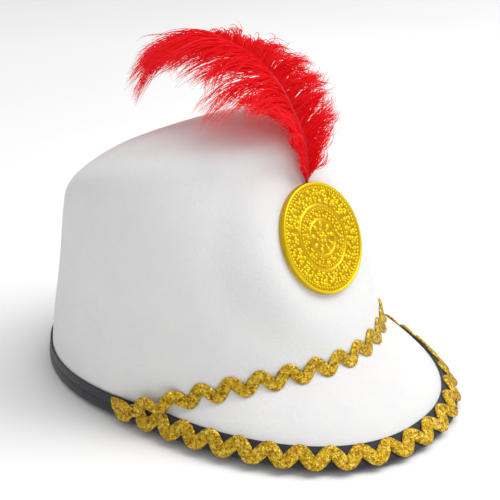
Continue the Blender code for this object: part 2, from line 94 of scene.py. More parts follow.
# Binding tape and its stitches
TAPE = 0.0008
TAPE_WIDTH = 0.0105
TAPE_CLEARANCE = 0.0004
STITCH_PITCH = 0.0032
STITCH_LENGTH = 0.0021
STITCH_RADIUS = 0.00018
# Place and width of the stitch groove are shares of TAPE_WIDTH
GROOVE = 0.5
GROOVE_WIDTH = 0.028
GROOVE_DEPTH = 0.00028
TAPE_SWELL = 0.00022

# Wavy braid: a flat plait of metallic yarns pulled into waves
SEAM_STROKE = 0.0062
SEAM_SWING = 0.0029
PEAK_STROKE = 0.0068
PEAK_SWING = 0.0026
PEAK_BRAID_DROP = 0.0009
BRAID_WAVE = 0.0148
BRAID_THICKNESS = 0.0015
SEAM_BRAID_START = 0.0120
PEAK_BRAID_START = 0.0040
BRAID_LAP = 0.0170
BRAID_TRIM = 0.0022
BRAID_CLEARANCE = 0.0005
YARN_PITCH = 0.00125
YARN_ROUNDNESS = 0.7

# Badge
BADGE_RADIUS = 0.0284
BADGE_HEIGHT = 0.0902
BADGE_THICKNESS = 0.0034
BADGE_RELIEF = 0.0012
SEAT_DEPTH = 0.0018
SEAT_BLEND = 0.0300
# Hammering of the face, and lumps' height and seat, are shares of BADGE_RELIEF
HAMMERING = 0.06
LUMP_HEIGHT = 0.55
LUMP_SEAT = 0.9
CLEARANCE = 0.0003

# Plume
QUILL_RADIUS = 0.0009
QUILL_SEATED = 0.0140
PLUME_SIDE = 0.0030
PLUME_SWEEP = 0.1214
PLUME_RISE = 0.0626
LOCK_LENGTH = 0.0400
BARBS_A_SIDE = 1150
CLUMPS_A_SIDE = 30
CLUMPING = 0.6
BARB_RADIUS = 0.00028
BARBULE_LENGTH = 0.0011
BARBULE_SPACING = 0.0007
BARBULE_WIDTH = 0.00016
BARBULE_LEAN = math.radians(40)
NEAR_CURL = 0.0040
FAR_CURL = 0.0062
CURL_TURN = 6.0

# Patterns in the materials, in millimetres. Wool fibre, cotton fuzz, thread filaments, metallised film and the
# streaks of a barb are finer than the render shows, so they are drawn as coarse as they need to be
FELT_CLOUD_MM = 18
FELT_MAT_MM = 3.85
FELT_FIBRE_MM = 1.1
TAPE_RIB_MM = 0.7
TAPE_FUZZ_MM = 0.7
THREAD_TWIST_MM = 0.55
FILM_FLAKE_MM = 0.9
FILM_PATCH_MM = 2.1
FILM_WINDING_MM = 0.7
BADGE_GRIT_MM = 1.4
BARB_STREAK_MM = 2.9
QUILL_STREAK_MM = 4.5
PAPER_CLOUD_MM = 330

# Rows and columns of the meshes, points merged where closer than these lengths, and seeds of what is random
CROWN_COLUMNS = (201, 121)
WALL_ROWS = 26
TOP_ROWS = 37
CALM_ROWS = 10
CALM_RING = 0.02
BEND_COUNT = 9
SLOPE_COUNT = 24
FOLD_COUNT = 13
TAPE_COLUMN = 1.5
BRAID_COLUMNS = 19
STEPS_A_WAVE = 72
LEAD_STEPS = 6
BRAID_OVERRUN = 27
PATH_STEPS = 4001
BRAID_PATH_STEPS = 6000
BADGE_ROWS = 140
BADGE_COLUMNS = 256
QUILL_STEPS = 60
QUILL_SIDES = 12
BARB_STEPS = 15
FELT_MERGE = 2e-6
FINE_MERGE = 1e-7
BADGE_SEED = 11
PLUME_SEED = 23
BARBULE_TURN_SEED = 5
BARBULE_GROWTH_SEED = 9

# Rows from the rim plane to the middle of the top, as in the solid
CROWN_TABLE = (
    # height, front, back, side, slant, spread
    (0.000, 1.000, 1.000, 1.000, 0.000, 1.000),
    (0.141, 0.938, 0.963, 0.997, 0.175, 1.000),
    (0.317, 0.847, 0.906, 0.990, 0.393, 1.000),
    (0.529, 0.713, 0.824, 0.975, 0.656, 1.000),
    (0.705, 0.583, 0.745, 0.957, 0.874, 1.000),
    (0.815, 0.510, 0.696, 0.946, 0.980, 0.998),
    (0.876, 0.500, 0.690, 0.944, 1.000, 0.973),
    (0.921, 0.500, 0.690, 0.944, 1.000, 0.896),
    (0.964, 0.500, 0.690, 0.944, 1.000, 0.713),
    (0.989, 0.500, 0.690, 0.944, 1.000, 0.471),
    (1.000, 0.500, 0.690, 0.944, 1.000, 0.000),
    (0.989, 0.500, 0.690, 0.944, 1.000, -0.471),
)
CROWN_ROWS = len(CROWN_TABLE) - 2
SHOULDER = 0.5

# The quill above the badge: sweep is a share of PLUME_SWEEP towards the back, rise of PLUME_RISE
QUILL_TABLE = (
    # sweep, rise
    (0.000, 0.000),
    (0.005, 0.200),
    (0.025, 0.380),
    (0.080, 0.560),
    (0.140, 0.720),
    (0.215, 0.840),
    (0.300, 0.920),
    (0.400, 0.970),
    (0.500, 0.980),
    (0.620, 0.950),
)

# Barbs along the quill: near and far are lengths on the -X and +X sides as shares of LOCK_LENGTH
BARB_TABLE = (
    # near, far, splay, lift, droop
    (0.32, 0.38, 0.58, 0.20, 0.02),
    (0.50, 0.50, 0.68, 0.20, 0.08),
    (0.76, 0.62, 0.76, 0.24, 0.20),
    (1.02, 0.72, 0.82, 0.28, 0.34),
    (1.22, 0.78, 0.86, 0.32, 0.44),
    (1.38, 0.80, 0.86, 0.35, 0.52),
    (1.44, 0.80, 0.82, 0.37, 0.55),
    (1.40, 0.78, 0.76, 0.37, 0.56),
    (1.30, 0.76, 0.67, 0.34, 0.56),
    (1.16, 0.76, 0.55, 0.28, 0.54),
    (1.04, 0.78, 0.41, 0.18, 0.52),
    (0.92, 0.78, 0.23, 0.06, 0.50),
)

# Turned face of the badge: radius as a share of BADGE_RADIUS, height as a share of BADGE_RELIEF
BADGE_PROFILE = (
    (0.000, 0.55), (0.040, 0.50), (0.060, 0.20), (0.140, 0.10), (0.290, 0.12), (0.305, 0.35), (0.320, 0.45),
    (0.335, 0.35), (0.350, 0.12), (0.470, 0.10), (0.520, 0.14), (0.550, 0.14), (0.565, 0.45), (0.580, 0.55),
    (0.595, 0.45), (0.610, 0.14), (0.860, 0.08), (0.928, 0.10), (0.936, 0.45), (0.946, 0.85), (0.960, 1.00),
    (0.976, 1.00), (0.990, 0.80), (1.000, 0.20),
)
# Side and back of the badge: radius as a share of BADGE_RADIUS, height as a share of its plate
BADGE_SKIRT = ((1.0, 0.55), (0.985, 0.50), (0.985, 0.35), (1.0, 0.30), (1.0, 0.0), (0.5, 0.0), (0.0, 0.0))

# Raised rings of lumps on the badge: radius, lump width and lump length are shares of BADGE_RADIUS, turn sets
# the lumps aslant like the strands of a rope, and jitter scatters their places, turns and sizes
BADGE_RINGS = (
    # radius, count, width, length, turn in degrees, jitter
    (0.900, 88, 0.024, 0.038, 42, 0.05),
    (0.835, 62, 0.034, 0.038, 0, 0.45),
    (0.770, 56, 0.036, 0.038, 0, 0.50),
    (0.705, 52, 0.034, 0.036, 0, 0.50),
    (0.645, 48, 0.032, 0.034, 0, 0.45),
    (0.510, 50, 0.022, 0.032, 40, 0.05),
    (0.450, 34, 0.030, 0.032, 0, 0.40),
    (0.390, 28, 0.030, 0.030, 0, 0.40),
    (0.240, 9, 0.042, 0.064, 0, 0.08),
    (0.155, 8, 0.032, 0.034, 0, 0.20),
    (0.070, 5, 0.034, 0.038, 0, 0.05),
)
PLACE_SCATTER = 0.02
TURN_SCATTER = 2
SIZE_SCATTER = 0.6


def unit(vectors):
    return vectors / np.maximum(np.linalg.norm(vectors, axis=-1, keepdims=True), 1e-12)


def ease(share):
    share = np.clip(share, 0, 1)
    return share * share * (3 - 2 * share)


def lengths(points):
    """Distance along each line of points from its first one. Lines run down the first axis."""
    steps = np.linalg.norm(np.diff(points, axis=0), axis=-1)
    return np.concatenate([np.zeros_like(steps[:1]), np.cumsum(steps, axis=0)])


def smooth_rows(table, place):
    """Values of a table's columns at row numbers, on a smooth curve through its rows."""
    rows = np.array(table, float)
    padded = np.vstack([2 * rows[0] - rows[1], rows, 2 * rows[-1] - rows[-2]])
    place = np.clip(np.asarray(place, float), 0, len(rows) - 1)
    start = np.minimum(place.astype(int), len(rows) - 2)
    f = (place - start)[..., None]
    p0, p1, p2, p3 = (padded[start + k] for k in range(4))
    curve = 2 * p0 - 5 * p1 + 4 * p2 - p3
    twist = 3 * p1 - p0 - 3 * p2 + p3
    return 0.5 * (2 * p1 + (p2 - p0) * f + curve * f**2 + twist * f**3)


def bare_crown(angle, share):
    """The crown's outside before the badge presses it flat. Angle runs from the +X side to the back."""
    rows = smooth_rows(CROWN_TABLE, share * CROWN_ROWS)
    height, front, back, side, slant, spread = np.moveaxis(rows, -1, 0)
    front, back = FRONT_REACH * front, BACK_REACH * back
    cosine, sine = np.cos(angle), np.sin(angle)
    power = 2 / np.where(sine < 0, FRONT_POWER, BACK_POWER)
    x = HALF_WIDTH * side * spread * np.sign(cosine) * np.abs(cosine) ** power
    y = (back - front) / 2 + (back + front) / 2 * spread * np.sign(sine) * np.abs(sine) ** power
    z = CROWN_HEIGHT * height + slant * (-TOP_SLANT * y - y * y / (2 * TOP_RADIUS))
    return np.stack([x, y, z], -1)


def share_at_height(surface, angle, height):
    """How far up the crown each angle reaches a height, which is a number or a function of y."""
    low = np.zeros_like(angle)
    high = np.full_like(angle, SHOULDER)
    for _ in range(30):
        middle = (low + high) / 2
        point = surface(angle, middle)
        below = point[..., 2] < (height(point[..., 1]) if callable(height) else height)
        low, high = np.where(below, middle, low), np.where(below, high, middle)
    return (low + high) / 2


def badge_seat():
    """Centre, outward normal and upward direction of the flat seat behind the badge."""
    front = np.array([-math.pi / 2])
    share = share_at_height(bare_crown, front, BADGE_HEIGHT)
    below, point, above = (bare_crown(front, share + k * 2 * SHARE_STEP)[0] for k in (-1, 0, 1))
    up = unit(above - below)
    normal = np.array([0.0, -up[2], up[1]])
    return point - SEAT_DEPTH * normal, normal, up


SEAT_CENTRE, SEAT_NORMAL, SEAT_UP = badge_seat()
SEAT_RIGHT = np.cross(SEAT_UP, SEAT_NORMAL)
HEAD = np.array([0.0, (PEAK_REACH - BACK_REACH) / 2, 0.0])


def crown(angle, share):
    """The crown's outside, pressed flat behind the badge."""
    point = bare_crown(angle, share)
    away = point - SEAT_CENTRE
    depth = away @ SEAT_NORMAL
    radius = np.hypot(away[..., 0], away @ SEAT_UP)
    weight = 1 - ease((radius - BADGE_RADIUS) / SEAT_BLEND)
    weight = weight * (1 - ease((share - 0.9 * SHOULDER) / (0.2 * SHOULDER)))
    weight = np.where(np.sin(angle) < 0, weight, 0)
    return point - (weight * depth)[..., None] * SEAT_NORMAL


def rim_height(y):
    flat = RIM_FLAT * BACK_REACH
    behind = ease((flat - y) / (flat + CORNER_SETBACK))
    ahead = 1 - np.clip((-y - CORNER_SETBACK) / (PEAK_REACH - CORNER_SETBACK), 0, 1) ** RIM_POWER
    return CORNER_RISE * np.where(y > -CORNER_SETBACK, behind, ahead)


def seam_height(y):
    share = np.clip(-y / (SEAM_SPREAD * FRONT_REACH), 0, 1)
    climb = np.sin(math.pi / 2 * share**SEAM_POWER)
    return SEAM_SIDE_HEIGHT + (SEAM_FRONT_HEIGHT - SEAM_SIDE_HEIGHT) * climb


# From the felt to the outside of the tape folded round it
FOLD = TAPE_CLEARANCE + TAPE


def columns(front_count, back_count):
    """Angles of the front columns, from one corner of the peak to the other, and of the back columns."""
    middle = (BACK_REACH - FRONT_REACH) / 2
    share = (CORNER_SETBACK + middle) / ((BACK_REACH + FRONT_REACH) / 2)
    corner = math.asin(share ** (FRONT_POWER / 2))
    even = np.linspace(-1, 1, front_count)
    front = -math.pi / 2 + even * (1.3 - 0.3 * even**2) * (math.pi / 2 - corner)
    half_back = math.pi / 2 + corner - math.radians(0.8)
    return front, math.pi / 2 + np.linspace(-1, 1, back_count) * half_back


def peak_profile(angle, rows):
    """Outside of the peak: a row of points for each value of rows, from 0 at the seam to 1 at the edge."""
    share = share_at_height(crown, angle, lambda y: seam_height(y) - SEAM_GAP / 2)
    seam = crown(angle, share)
    down = unit(crown(angle, share - SHARE_STEP) - seam)
    forward = np.clip((-seam[:, 1] - CORNER_SETBACK) / (-seam[:, 1].min() - CORNER_SETBACK), 0, 1)
    edge_y = CORNER_SETBACK + (PEAK_REACH - CORNER_SETBACK) * forward**EDGE_POWER
    edge_x = HALF_WIDTH * np.clip(1 - (edge_y / PEAK_REACH) ** PEAK_POWER, 0, 1) ** (1 / PEAK_POWER)
    edge = np.stack([np.sign(seam[:, 0]) * edge_x, -edge_y, np.zeros_like(edge_x)], -1)
    rim = rim_height(edge[:, 1])
    for _ in range(4):
        run = unit(edge - seam)
        edge[:, 2] = rim + FOLD * -run[:, 2] + (FELT + FOLD) * np.hypot(run[:, 0], run[:, 1])
    length = np.linalg.norm(edge - seam, axis=1, keepdims=True)
    bend = np.minimum(CREASE, BEND_SHARE * length)
    corner = seam + bend * down
    out = unit(edge - corner)
    leave = corner + bend * out
    normal = unit(np.cross(unit(np.gradient(edge, axis=0)), out))
    normal *= np.sign(normal[:, 2:])
    camber = PEAK_CAMBER * length / length.max()
    grid = []
    for row in rows:
        if row < BEND_ROWS:
            f = row / BEND_ROWS
            grid.append((1 - f) ** 2 * seam + 2 * f * (1 - f) * corner + f * f * leave)
        else:
            f = (row - BEND_ROWS) / (1 - BEND_ROWS)
            grid.append(leave + f * (edge - leave) + 4 * f * (1 - f) * camber * normal)
    return np.array(grid), share


class Skin:
    """The felt's outside seen from its edge: points and normals by place round it and distance up it."""

    FRONT_COUNT = 361
    BACK_COUNT = 241
    SLOPE_ROWS = 81
    CLIMB_ROWS = 41
    FRONT_CLIMB = 0.30
    BACK_CLIMB = 0.45
    START = -0.002
    REACH = 0.064
    STEP = 0.00025

    def __init__(self):
        front, back = columns(self.FRONT_COUNT, self.BACK_COUNT)
        slope, seam_share = peak_profile(front, np.linspace(1, 0, self.SLOPE_ROWS))
        climb = self.FRONT_CLIMB * np.linspace(0, 1, self.CLIMB_ROWS)[1:]
        front_lines = np.concatenate([slope, [crown(front, seam_share + c) for c in climb]])
        back_share = share_at_height(crown, back, FOLD)
        run = unit(crown(back, back_share + SHARE_STEP) - crown(back, back_share))
        lean = FOLD * run[:, 2] + (FELT + FOLD) * np.hypot(run[:, 0], run[:, 1])
        back_share = share_at_height(crown, back, lambda y: rim_height(y) + lean)
        climb = self.BACK_CLIMB * np.linspace(0, 1, len(front_lines))
        back_lines = np.array([crown(back, back_share + c) for c in climb])
        lines = np.concatenate([front_lines, back_lines], axis=1)
        known = lengths(lines)
        distances = np.arange(self.START, self.REACH, self.STEP)
        below = distances < 0
        self.back_angles, self.back_share = back, back_share
        self.seam = known[len(slope) - 1, : self.FRONT_COUNT]
        self.count = lines.shape[1]
        self.grid = np.empty((self.count, len(distances), 3))
        for c in range(self.count):
            for k in range(3):
                self.grid[c, :, k] = np.interp(distances, known[:, c], lines[:, c, k])
            first = unit(lines[1, c] - lines[0, c])
            self.grid[c, below] = lines[0, c] + distances[below, None] * first
        around = np.roll(self.grid, -1, axis=0) - np.roll(self.grid, 1, axis=0)
        self.normals = unit(np.cross(around, np.gradient(self.grid, axis=1)))

    def at(self, place, distance):
        place, distance = np.broadcast_arrays(np.asarray(place, float), np.asarray(distance, float))
        low = np.floor(place).astype(int)
        f = (place - low)[..., None]
        a, b = low % self.count, (low + 1) % self.count
        row = np.clip((distance - self.START) / self.STEP, 0, self.grid.shape[1] - 1.001)
        r = row.astype(int)
        g = (row - r)[..., None]

        def blend(grid):
            first = (1 - g) * grid[a, r] + g * grid[a, r + 1]
            second = (1 - g) * grid[b, r] + g * grid[b, r + 1]
            return (1 - f) * first + f * second

        return blend(self.grid), unit(blend(self.normals))


SKIN = Skin()


def srgb(value):
    value = value / 255
    return value / 12.92 if value <= 0.04045 else ((value + 0.055) / 1.055) ** 2.4


def colour(text):
    return (*(srgb(int(text[k : k + 2], 16)) for k in (1, 3, 5)), 1.0)


def add(tree, kind, settings=None, inputs=None, stops=(), into=None):
    """Adds a node with its settings, inputs and colour stops, and links its first output into a socket.

    An input is a value or the socket that feeds it.
    """
    node = tree.nodes.new(kind)
    for name, value in (settings or {}).items():
        setattr(node, name, value)
    for key, value in (inputs or {}).items():
        if isinstance(value, bpy.types.NodeSocket):
            tree.links.new(value, node.inputs[key])
        else:
            node.inputs[key].default_value = value
    for number, (position, value) in enumerate(stops):
        band = node.color_ramp.elements
        stop = band[number] if number < len(band) else band.new(position)
        stop.position, stop.color = position, colour(value)
    if into is not None:
        tree.links.new(node.outputs[0], into)
    return node


# Distance along X between the bands of a wave texture at scale 1, straight and diagonal
BAND_STEP = 2 * math.pi / 20
DIAGONAL_STEP = 2 * math.pi / 10


def grains(millimetres):
    """Scale that makes a pattern's grains this size on Object coordinates, which are in metres."""
    return 1000 / millimetres


def new_material(name, **shader_values):
    made = bpy.data.materials.new(name)
    made.use_nodes = True
    tree = made.node_tree
    tree.nodes.clear()
    shader = add(tree, "ShaderNodeBsdfPrincipled")
    for key, value in shader_values.items():
        shader.inputs[key.replace("_", " ")].default_value = value
    add(tree, "ShaderNodeOutputMaterial", inputs={"Surface": shader.outputs[0]})
    place = add(tree, "ShaderNodeTexCoord").outputs["Object"]
    return made, tree, shader, place


def felt_material():
    """Pressed wool felt: short matted fibres that scatter light softly, with faint clouding from pressing."""
    made, tree, shader, place = new_material(
        "pressed_wool_felt", Roughness=0.92, Sheen_Weight=0.25, Sheen_Roughness=0.45
    )
    cloud = add(
        tree, "ShaderNodeTexNoise", inputs={"Vector": place, "Scale": grains(FELT_CLOUD_MM), "Detail": 4.0}
    )
    fibre = add(
        tree,
        "ShaderNodeTexNoise",
        inputs={"Vector": place, "Scale": grains(FELT_FIBRE_MM), "Detail": 6.0, "Roughness": 0.7},
    )
    mat = add(
        tree,
        "ShaderNodeTexNoise",
        inputs={
            "Vector": place,
            "Scale": grains(FELT_MAT_MM),
            "Detail": 5.0,
            "Roughness": 0.6,
            "Distortion": 1.5,
        },
    )
    mixed = add(
        tree,
        "ShaderNodeMix",
        {"data_type": "FLOAT"},
        {"Factor": 0.35, "A": cloud.outputs["Fac"], "B": mat.outputs["Fac"]},
    )
    add(
        tree,
        "ShaderNodeValToRGB",
        inputs={"Fac": mixed.outputs[0]},
        stops=((0.3, "#E5E5E6"), (0.7, "#EAEAE9")),
        into=shader.inputs["Base Color"],
    )
    coarse = add(
        tree, "ShaderNodeBump", inputs={"Height": mat.outputs["Fac"], "Strength": 0.35, "Distance": 0.0006}
    )
    add(
        tree,
        "ShaderNodeBump",
        inputs={
            "Height": fibre.outputs["Fac"],
            "Normal": coarse.outputs[0],
            "Strength": 0.5,
            "Distance": 0.0003,
        },
        into=shader.inputs["Normal"],
    )
    return made


def tape_material():
    """Woven cotton tape: fine ribs across it and a dull sheen where it turns over the edge."""
    made, tree, shader, _ = new_material(
        "woven_cotton_tape", Roughness=0.62, Sheen_Weight=0.35, Sheen_Roughness=0.35
    )
    uv = add(tree, "ShaderNodeUVMap", {"uv_map": "millimetres"}).outputs[0]
    ribs = add(
        tree,
        "ShaderNodeTexWave",
        {"wave_type": "BANDS", "bands_direction": "X", "wave_profile": "SIN"},
        {
            "Vector": uv,
            "Scale": BAND_STEP / TAPE_RIB_MM,
            "Distortion": 0.6,
            "Detail": 2.0,
            "Detail Scale": 3.0,
        },
    )
    fuzz = add(
        tree,
        "ShaderNodeTexNoise",
        inputs={"Vector": uv, "Scale": 1 / TAPE_FUZZ_MM, "Detail": 6.0, "Roughness": 0.65},
    )
    mixed = add(
        tree,
        "ShaderNodeMix",
        {"data_type": "FLOAT"},
        {"Factor": 0.5, "A": ribs.outputs["Fac"], "B": fuzz.outputs["Fac"]},
    )
    add(
        tree,
        "ShaderNodeValToRGB",
        inputs={"Fac": mixed.outputs[0]},
        stops=((0.25, "#0E1016"), (0.75, "#282B36")),
        into=shader.inputs["Base Color"],
    )
    add(
        tree,
        "ShaderNodeBump",
        inputs={"Height": mixed.outputs[0], "Strength": 0.6, "Distance": 0.0003},
        into=shader.inputs["Normal"],
    )
    return made


def thread_material():
    """Spun polyester thread: smooth twisted filaments with a slight gloss."""
    made, tree, shader, place = new_material("spun_polyester_thread", Roughness=0.5, Sheen_Weight=0.2)
    twist = add(
        tree, "ShaderNodeTexNoise", inputs={"Vector": place, "Scale": grains(THREAD_TWIST_MM), "Detail": 2.0}
    )
    add(
        tree,
        "ShaderNodeValToRGB",
        inputs={"Fac": twist.outputs["Fac"]},
        stops=((0.3, "#14151B"), (0.7, "#2C2F39")),
        into=shader.inputs["Base Color"],
    )
    return made


def braid_material():
    """Metallised film wound on a core: a yarn sparkles where its film faces the light and is dull between, and
    its colour adds painted glints, pale yellow, and painted shade, dark brown, flake by flake.
    """
    made, tree, shader, place = new_material("metallised_yarn", Metallic=0.75, Sheen_Weight=0.1)
    uv = add(tree, "ShaderNodeUVMap", {"uv_map": "millimetres"}).outputs[0]
    flake = add(
        tree,
        "ShaderNodeTexVoronoi",
        {"feature": "F1"},
        {"Vector": place, "Scale": grains(FILM_FLAKE_MM)},
    )
    patch = add(
        tree,
        "ShaderNodeTexNoise",
        inputs={"Vector": place, "Scale": grains(FILM_PATCH_MM), "Detail": 2.0, "Roughness": 0.5},
    )
    winding = add(
        tree,
        "ShaderNodeTexWave",
        {"wave_type": "BANDS", "bands_direction": "DIAGONAL"},
        {"Vector": uv, "Scale": DIAGONAL_STEP / FILM_WINDING_MM, "Distortion": 1.5, "Detail": 2.0},
    )
    mixed = add(
        tree,
        "ShaderNodeMix",
        {"data_type": "FLOAT"},
        {"Factor": 0.6, "A": flake.outputs["Color"], "B": patch.outputs["Fac"]},
    )
    # Colour from dark brown to pale yellow, flake by flake: painted shade and painted glints over the gold.
    add(
        tree,
        "ShaderNodeValToRGB",
        inputs={"Fac": mixed.outputs[0]},
        stops=((0.22, "#5E3C04"), (0.42, "#B88C10"), (0.58, "#E0BA1E"), (0.8, "#FFEA90")),
        into=shader.inputs["Base Color"],
    )
    add(
        tree,
        "ShaderNodeMapRange",
        inputs={"Value": flake.outputs["Distance"], "To Min": 0.22, "To Max": 0.55},
        into=shader.inputs["Roughness"],
    )
    wound = add(
        tree,
        "ShaderNodeBump",
        inputs={"Height": winding.outputs["Fac"], "Strength": 0.5, "Distance": 0.0002},
    )
    add(
        tree,
        "ShaderNodeBump",
        inputs={
            "Height": flake.outputs["Distance"],
            "Normal": wound.outputs[0],
            "Strength": 0.9,
            "Distance": 0.0004,
        },
        into=shader.inputs["Normal"],
    )
    return made


def badge_material():
    """Vacuum-metallised plastic: yellow gold with painted shade, deeper and browner where recessed and brighter
    on high relief.
    """
    made, tree, shader, place = new_material(
        "vacuum_metallised_plastic", Metallic=0.85, Coat_Weight=0.1, Coat_Roughness=0.15
    )
    grit = add(
        tree,
        "ShaderNodeTexNoise",
        inputs={"Vector": place, "Scale": grains(BADGE_GRIT_MM), "Detail": 4.0, "Roughness": 0.6},
    )
    # The relief height picks the colour as painted shade: darker and browner in the recesses, brighter on the
    # high relief.
    height = add(tree, "ShaderNodeAttribute", {"attribute_name": "relief"}).outputs["Fac"]
    mixed = add(
        tree, "ShaderNodeMix", {"data_type": "FLOAT"}, {"Factor": 0.3, "A": height, "B": grit.outputs["Fac"]}
    )
    add(
        tree,
        "ShaderNodeValToRGB",
        inputs={"Fac": mixed.outputs[0]},
        stops=((0.05, "#BC9000"), (0.35, "#D8B000"), (0.8, "#F0D210")),
        into=shader.inputs["Base Color"],
    )
    add(
        tree,
        "ShaderNodeMapRange",
        inputs={"Value": grit.outputs["Fac"], "To Min": 0.30, "To Max": 0.52},
        into=shader.inputs["Roughness"],
    )
    add(
        tree,
        "ShaderNodeBump",
        inputs={"Height": grit.outputs["Fac"], "Strength": 0.3, "Distance": 0.0003},
        into=shader.inputs["Normal"],
    )
    return made


def feather_material():
    """Dyed ostrich barbs: soft keratin strands that let light through, with a faint painted glow, and lighter
    towards their thin tips by a painted highlight over a tone that differs at random.
    """
    # The faint red emission is painted light: the barbs glow a little, which brightens their shadowed insides.
    made, tree, shader, place = new_material(
        "dyed_ostrich_barb", Roughness=0.75, Specular_IOR_Level=0.25, Emission_Strength=0.16
    )
    shader.inputs["Emission Color"].default_value = colour("#FF0C18")
    tone_and_tip_highlight = add(tree, "ShaderNodeAttribute", {"attribute_name": "tone_and_tip_highlight"}).outputs["Fac"]
    streak = add(
        tree, "ShaderNodeTexNoise", inputs={"Vector": place, "Scale": grains(BARB_STREAK_MM), "Detail": 3.0}
    )
    mixed = add(
        tree, "ShaderNodeMix", {"data_type": "FLOAT"}, {"Factor": 0.3, "A": tone_and_tip_highlight, "B": streak.outputs["Fac"]}
    )
    # The tone runs the ramp from deep red to pink. It differs at random from barb to barb, and grows lighter
    # towards each barb's tip, which is a painted highlight.
    add(
        tree,
        "ShaderNodeValToRGB",
        inputs={"Fac": mixed.outputs[0]},
        stops=((0.12, "#C4000C"), (0.45, "#EE0618"), (0.85, "#FF4A58")),
        into=shader.inputs["Base Color"],
    )
    through = add(tree, "ShaderNodeBsdfTranslucent", inputs={"Color": (1.0, 0.02, 0.03, 1.0)})
    add(
        tree,
        "ShaderNodeMixShader",
        inputs={0: 0.45, 1: shader.outputs[0], 2: through.outputs[0]},
        into=tree.nodes["Material Output"].inputs["Surface"],
    )
    return made


def quill_material():
    """Dyed quill: smooth horn-like shaft, a little glossier and duller red than the barbs."""
    made, tree, shader, place = new_material("dyed_quill", Roughness=0.45)
    streak = add(
        tree, "ShaderNodeTexNoise", inputs={"Vector": place, "Scale": grains(QUILL_STREAK_MM), "Detail": 3.0}
    )
    add(
        tree,
        "ShaderNodeValToRGB",
        inputs={"Fac": streak.outputs["Fac"]},
        stops=((0.3, "#84101E"), (0.7, "#A41C2C")),
        into=shader.inputs["Base Color"],
    )
    return made


def floor_material():
    """Matt studio paper: plain and pale, with barely visible clouding."""
    made, tree, shader, place = new_material("studio_paper", Roughness=0.9)
    cloud = add(
        tree, "ShaderNodeTexNoise", inputs={"Vector": place, "Scale": grains(PAPER_CLOUD_MM), "Detail": 2.0}
    )
    add(
        tree,
        "ShaderNodeValToRGB",
        inputs={"Fac": cloud.outputs["Fac"]},
        stops=((0.3, "#FBFBFB"), (0.7, "#FFFFFF")),
        into=shader.inputs["Base Color"],
    )
    return made


def finish_piece(name, mesh, finish, node):
    """Links a finished mesh to the scene as a piece that replaces one of the solids."""
    made = bpy.data.objects.new(name, mesh)
    bpy.context.scene.collection.objects.link(made)
    if finish is not None:
        mesh.materials.clear()
        mesh.materials.append(finish)
    mesh.shade_smooth()
    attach(made, "root")
    if node:
        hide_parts(node)
    return made


def grid_mesh(name, grid, closed_rows, closed_columns=False, uv=None):
    """A surface from rows of points. UV, if given, has a pair for each point."""
    rows, count = grid.shape[:2]
    down = rows if closed_columns else rows - 1
    across = count if closed_rows else count - 1
    r, c = np.meshgrid(np.arange(down), np.arange(across), indexing="ij")
    r2, c2 = (r + 1) % rows, (c + 1) % count
    faces = np.stack([r * count + c, r * count + c2, r2 * count + c2, r2 * count + c], -1).reshape(-1, 4)
    mesh = bpy.data.meshes.new(name)
    mesh.from_pydata((grid.reshape(-1, 3) + HEAD).tolist(), [], faces.tolist())
    if uv is not None:
        layer = mesh.uv_layers.new(name="millimetres")
        corners = np.empty(len(mesh.loops), int)
        mesh.loops.foreach_get("vertex_index", corners)
        layer.data.foreach_set("uv", uv.reshape(-1, 2)[corners].astype(np.float32).ravel())
    return mesh


def clean(mesh, merge, fill_holes=False):
    """Merges points that lie closer than merge, fills holes where asked, and turns the faces outward."""
    work = bmesh.new()
    work.from_mesh(mesh)
    if merge:
        bmesh.ops.remove_doubles(work, verts=work.verts, dist=merge)
    if fill_holes:
        bmesh.ops.holes_fill(work, edges=work.edges, sides=0)
    bmesh.ops.recalc_face_normals(work, faces=work.faces)
    work.to_mesh(mesh)
    work.free()


def mark(mesh, label, values, kind="FLOAT"):
    """Gives each point of a mesh a number or a vector of its own."""
    layer = mesh.attributes.new(label, kind, "POINT")
    field = "vector" if kind == "FLOAT_VECTOR" else "value"
    layer.data.foreach_set(field, values.astype(np.float32).ravel())


def uv_grid(along, across):
    """UV in millimetres from distances in metres, down the rows and across them."""
    return np.stack(np.broadcast_arrays(along[:, None] * 1000, across[None, :] * 1000), -1)


def face_from(mesh, inside):
    """Turns an open sheet round where its first face looks at a point inside the hat."""
    face = mesh.polygons[0]
    if (np.array(face.center) - HEAD - inside) @ np.array(face.normal) < 0:
        mesh.flip_normals()


def evaluated(name, mesh, modify):
    """Runs modifiers on a mesh and returns the plain result."""
    source = bpy.data.objects.new(name, mesh)
    bpy.context.scene.collection.objects.link(source)
    modify(source)
    graph = bpy.context.evaluated_depsgraph_get()
    graph.update()
    result = bpy.data.meshes.new_from_object(source.evaluated_get(graph))
    bpy.data.objects.remove(source)
    return result


def thicken(source):
    wall = source.modifiers.new("felt", "SOLIDIFY")
    wall.thickness = FELT
    wall.offset = -1
    wall.use_even_offset = True
    wall.use_rim = True


def felt_wave(point):
    """Slight unevenness of hand-steamed felt along its normal: three crossing swells 70 to 190 mm long."""
    x, y, z = np.moveaxis(point, -1, 0)
    bent = np.sin(61 * x + 2.1 * np.sin(33 * z + 0.4))
    slanted = np.sin(47 * y - 71 * z + 1.3)
    level = np.sin(83 * z + 29 * x + 2.0)
    return FELT_WAVE * (bent + slanted + level) / 1.7


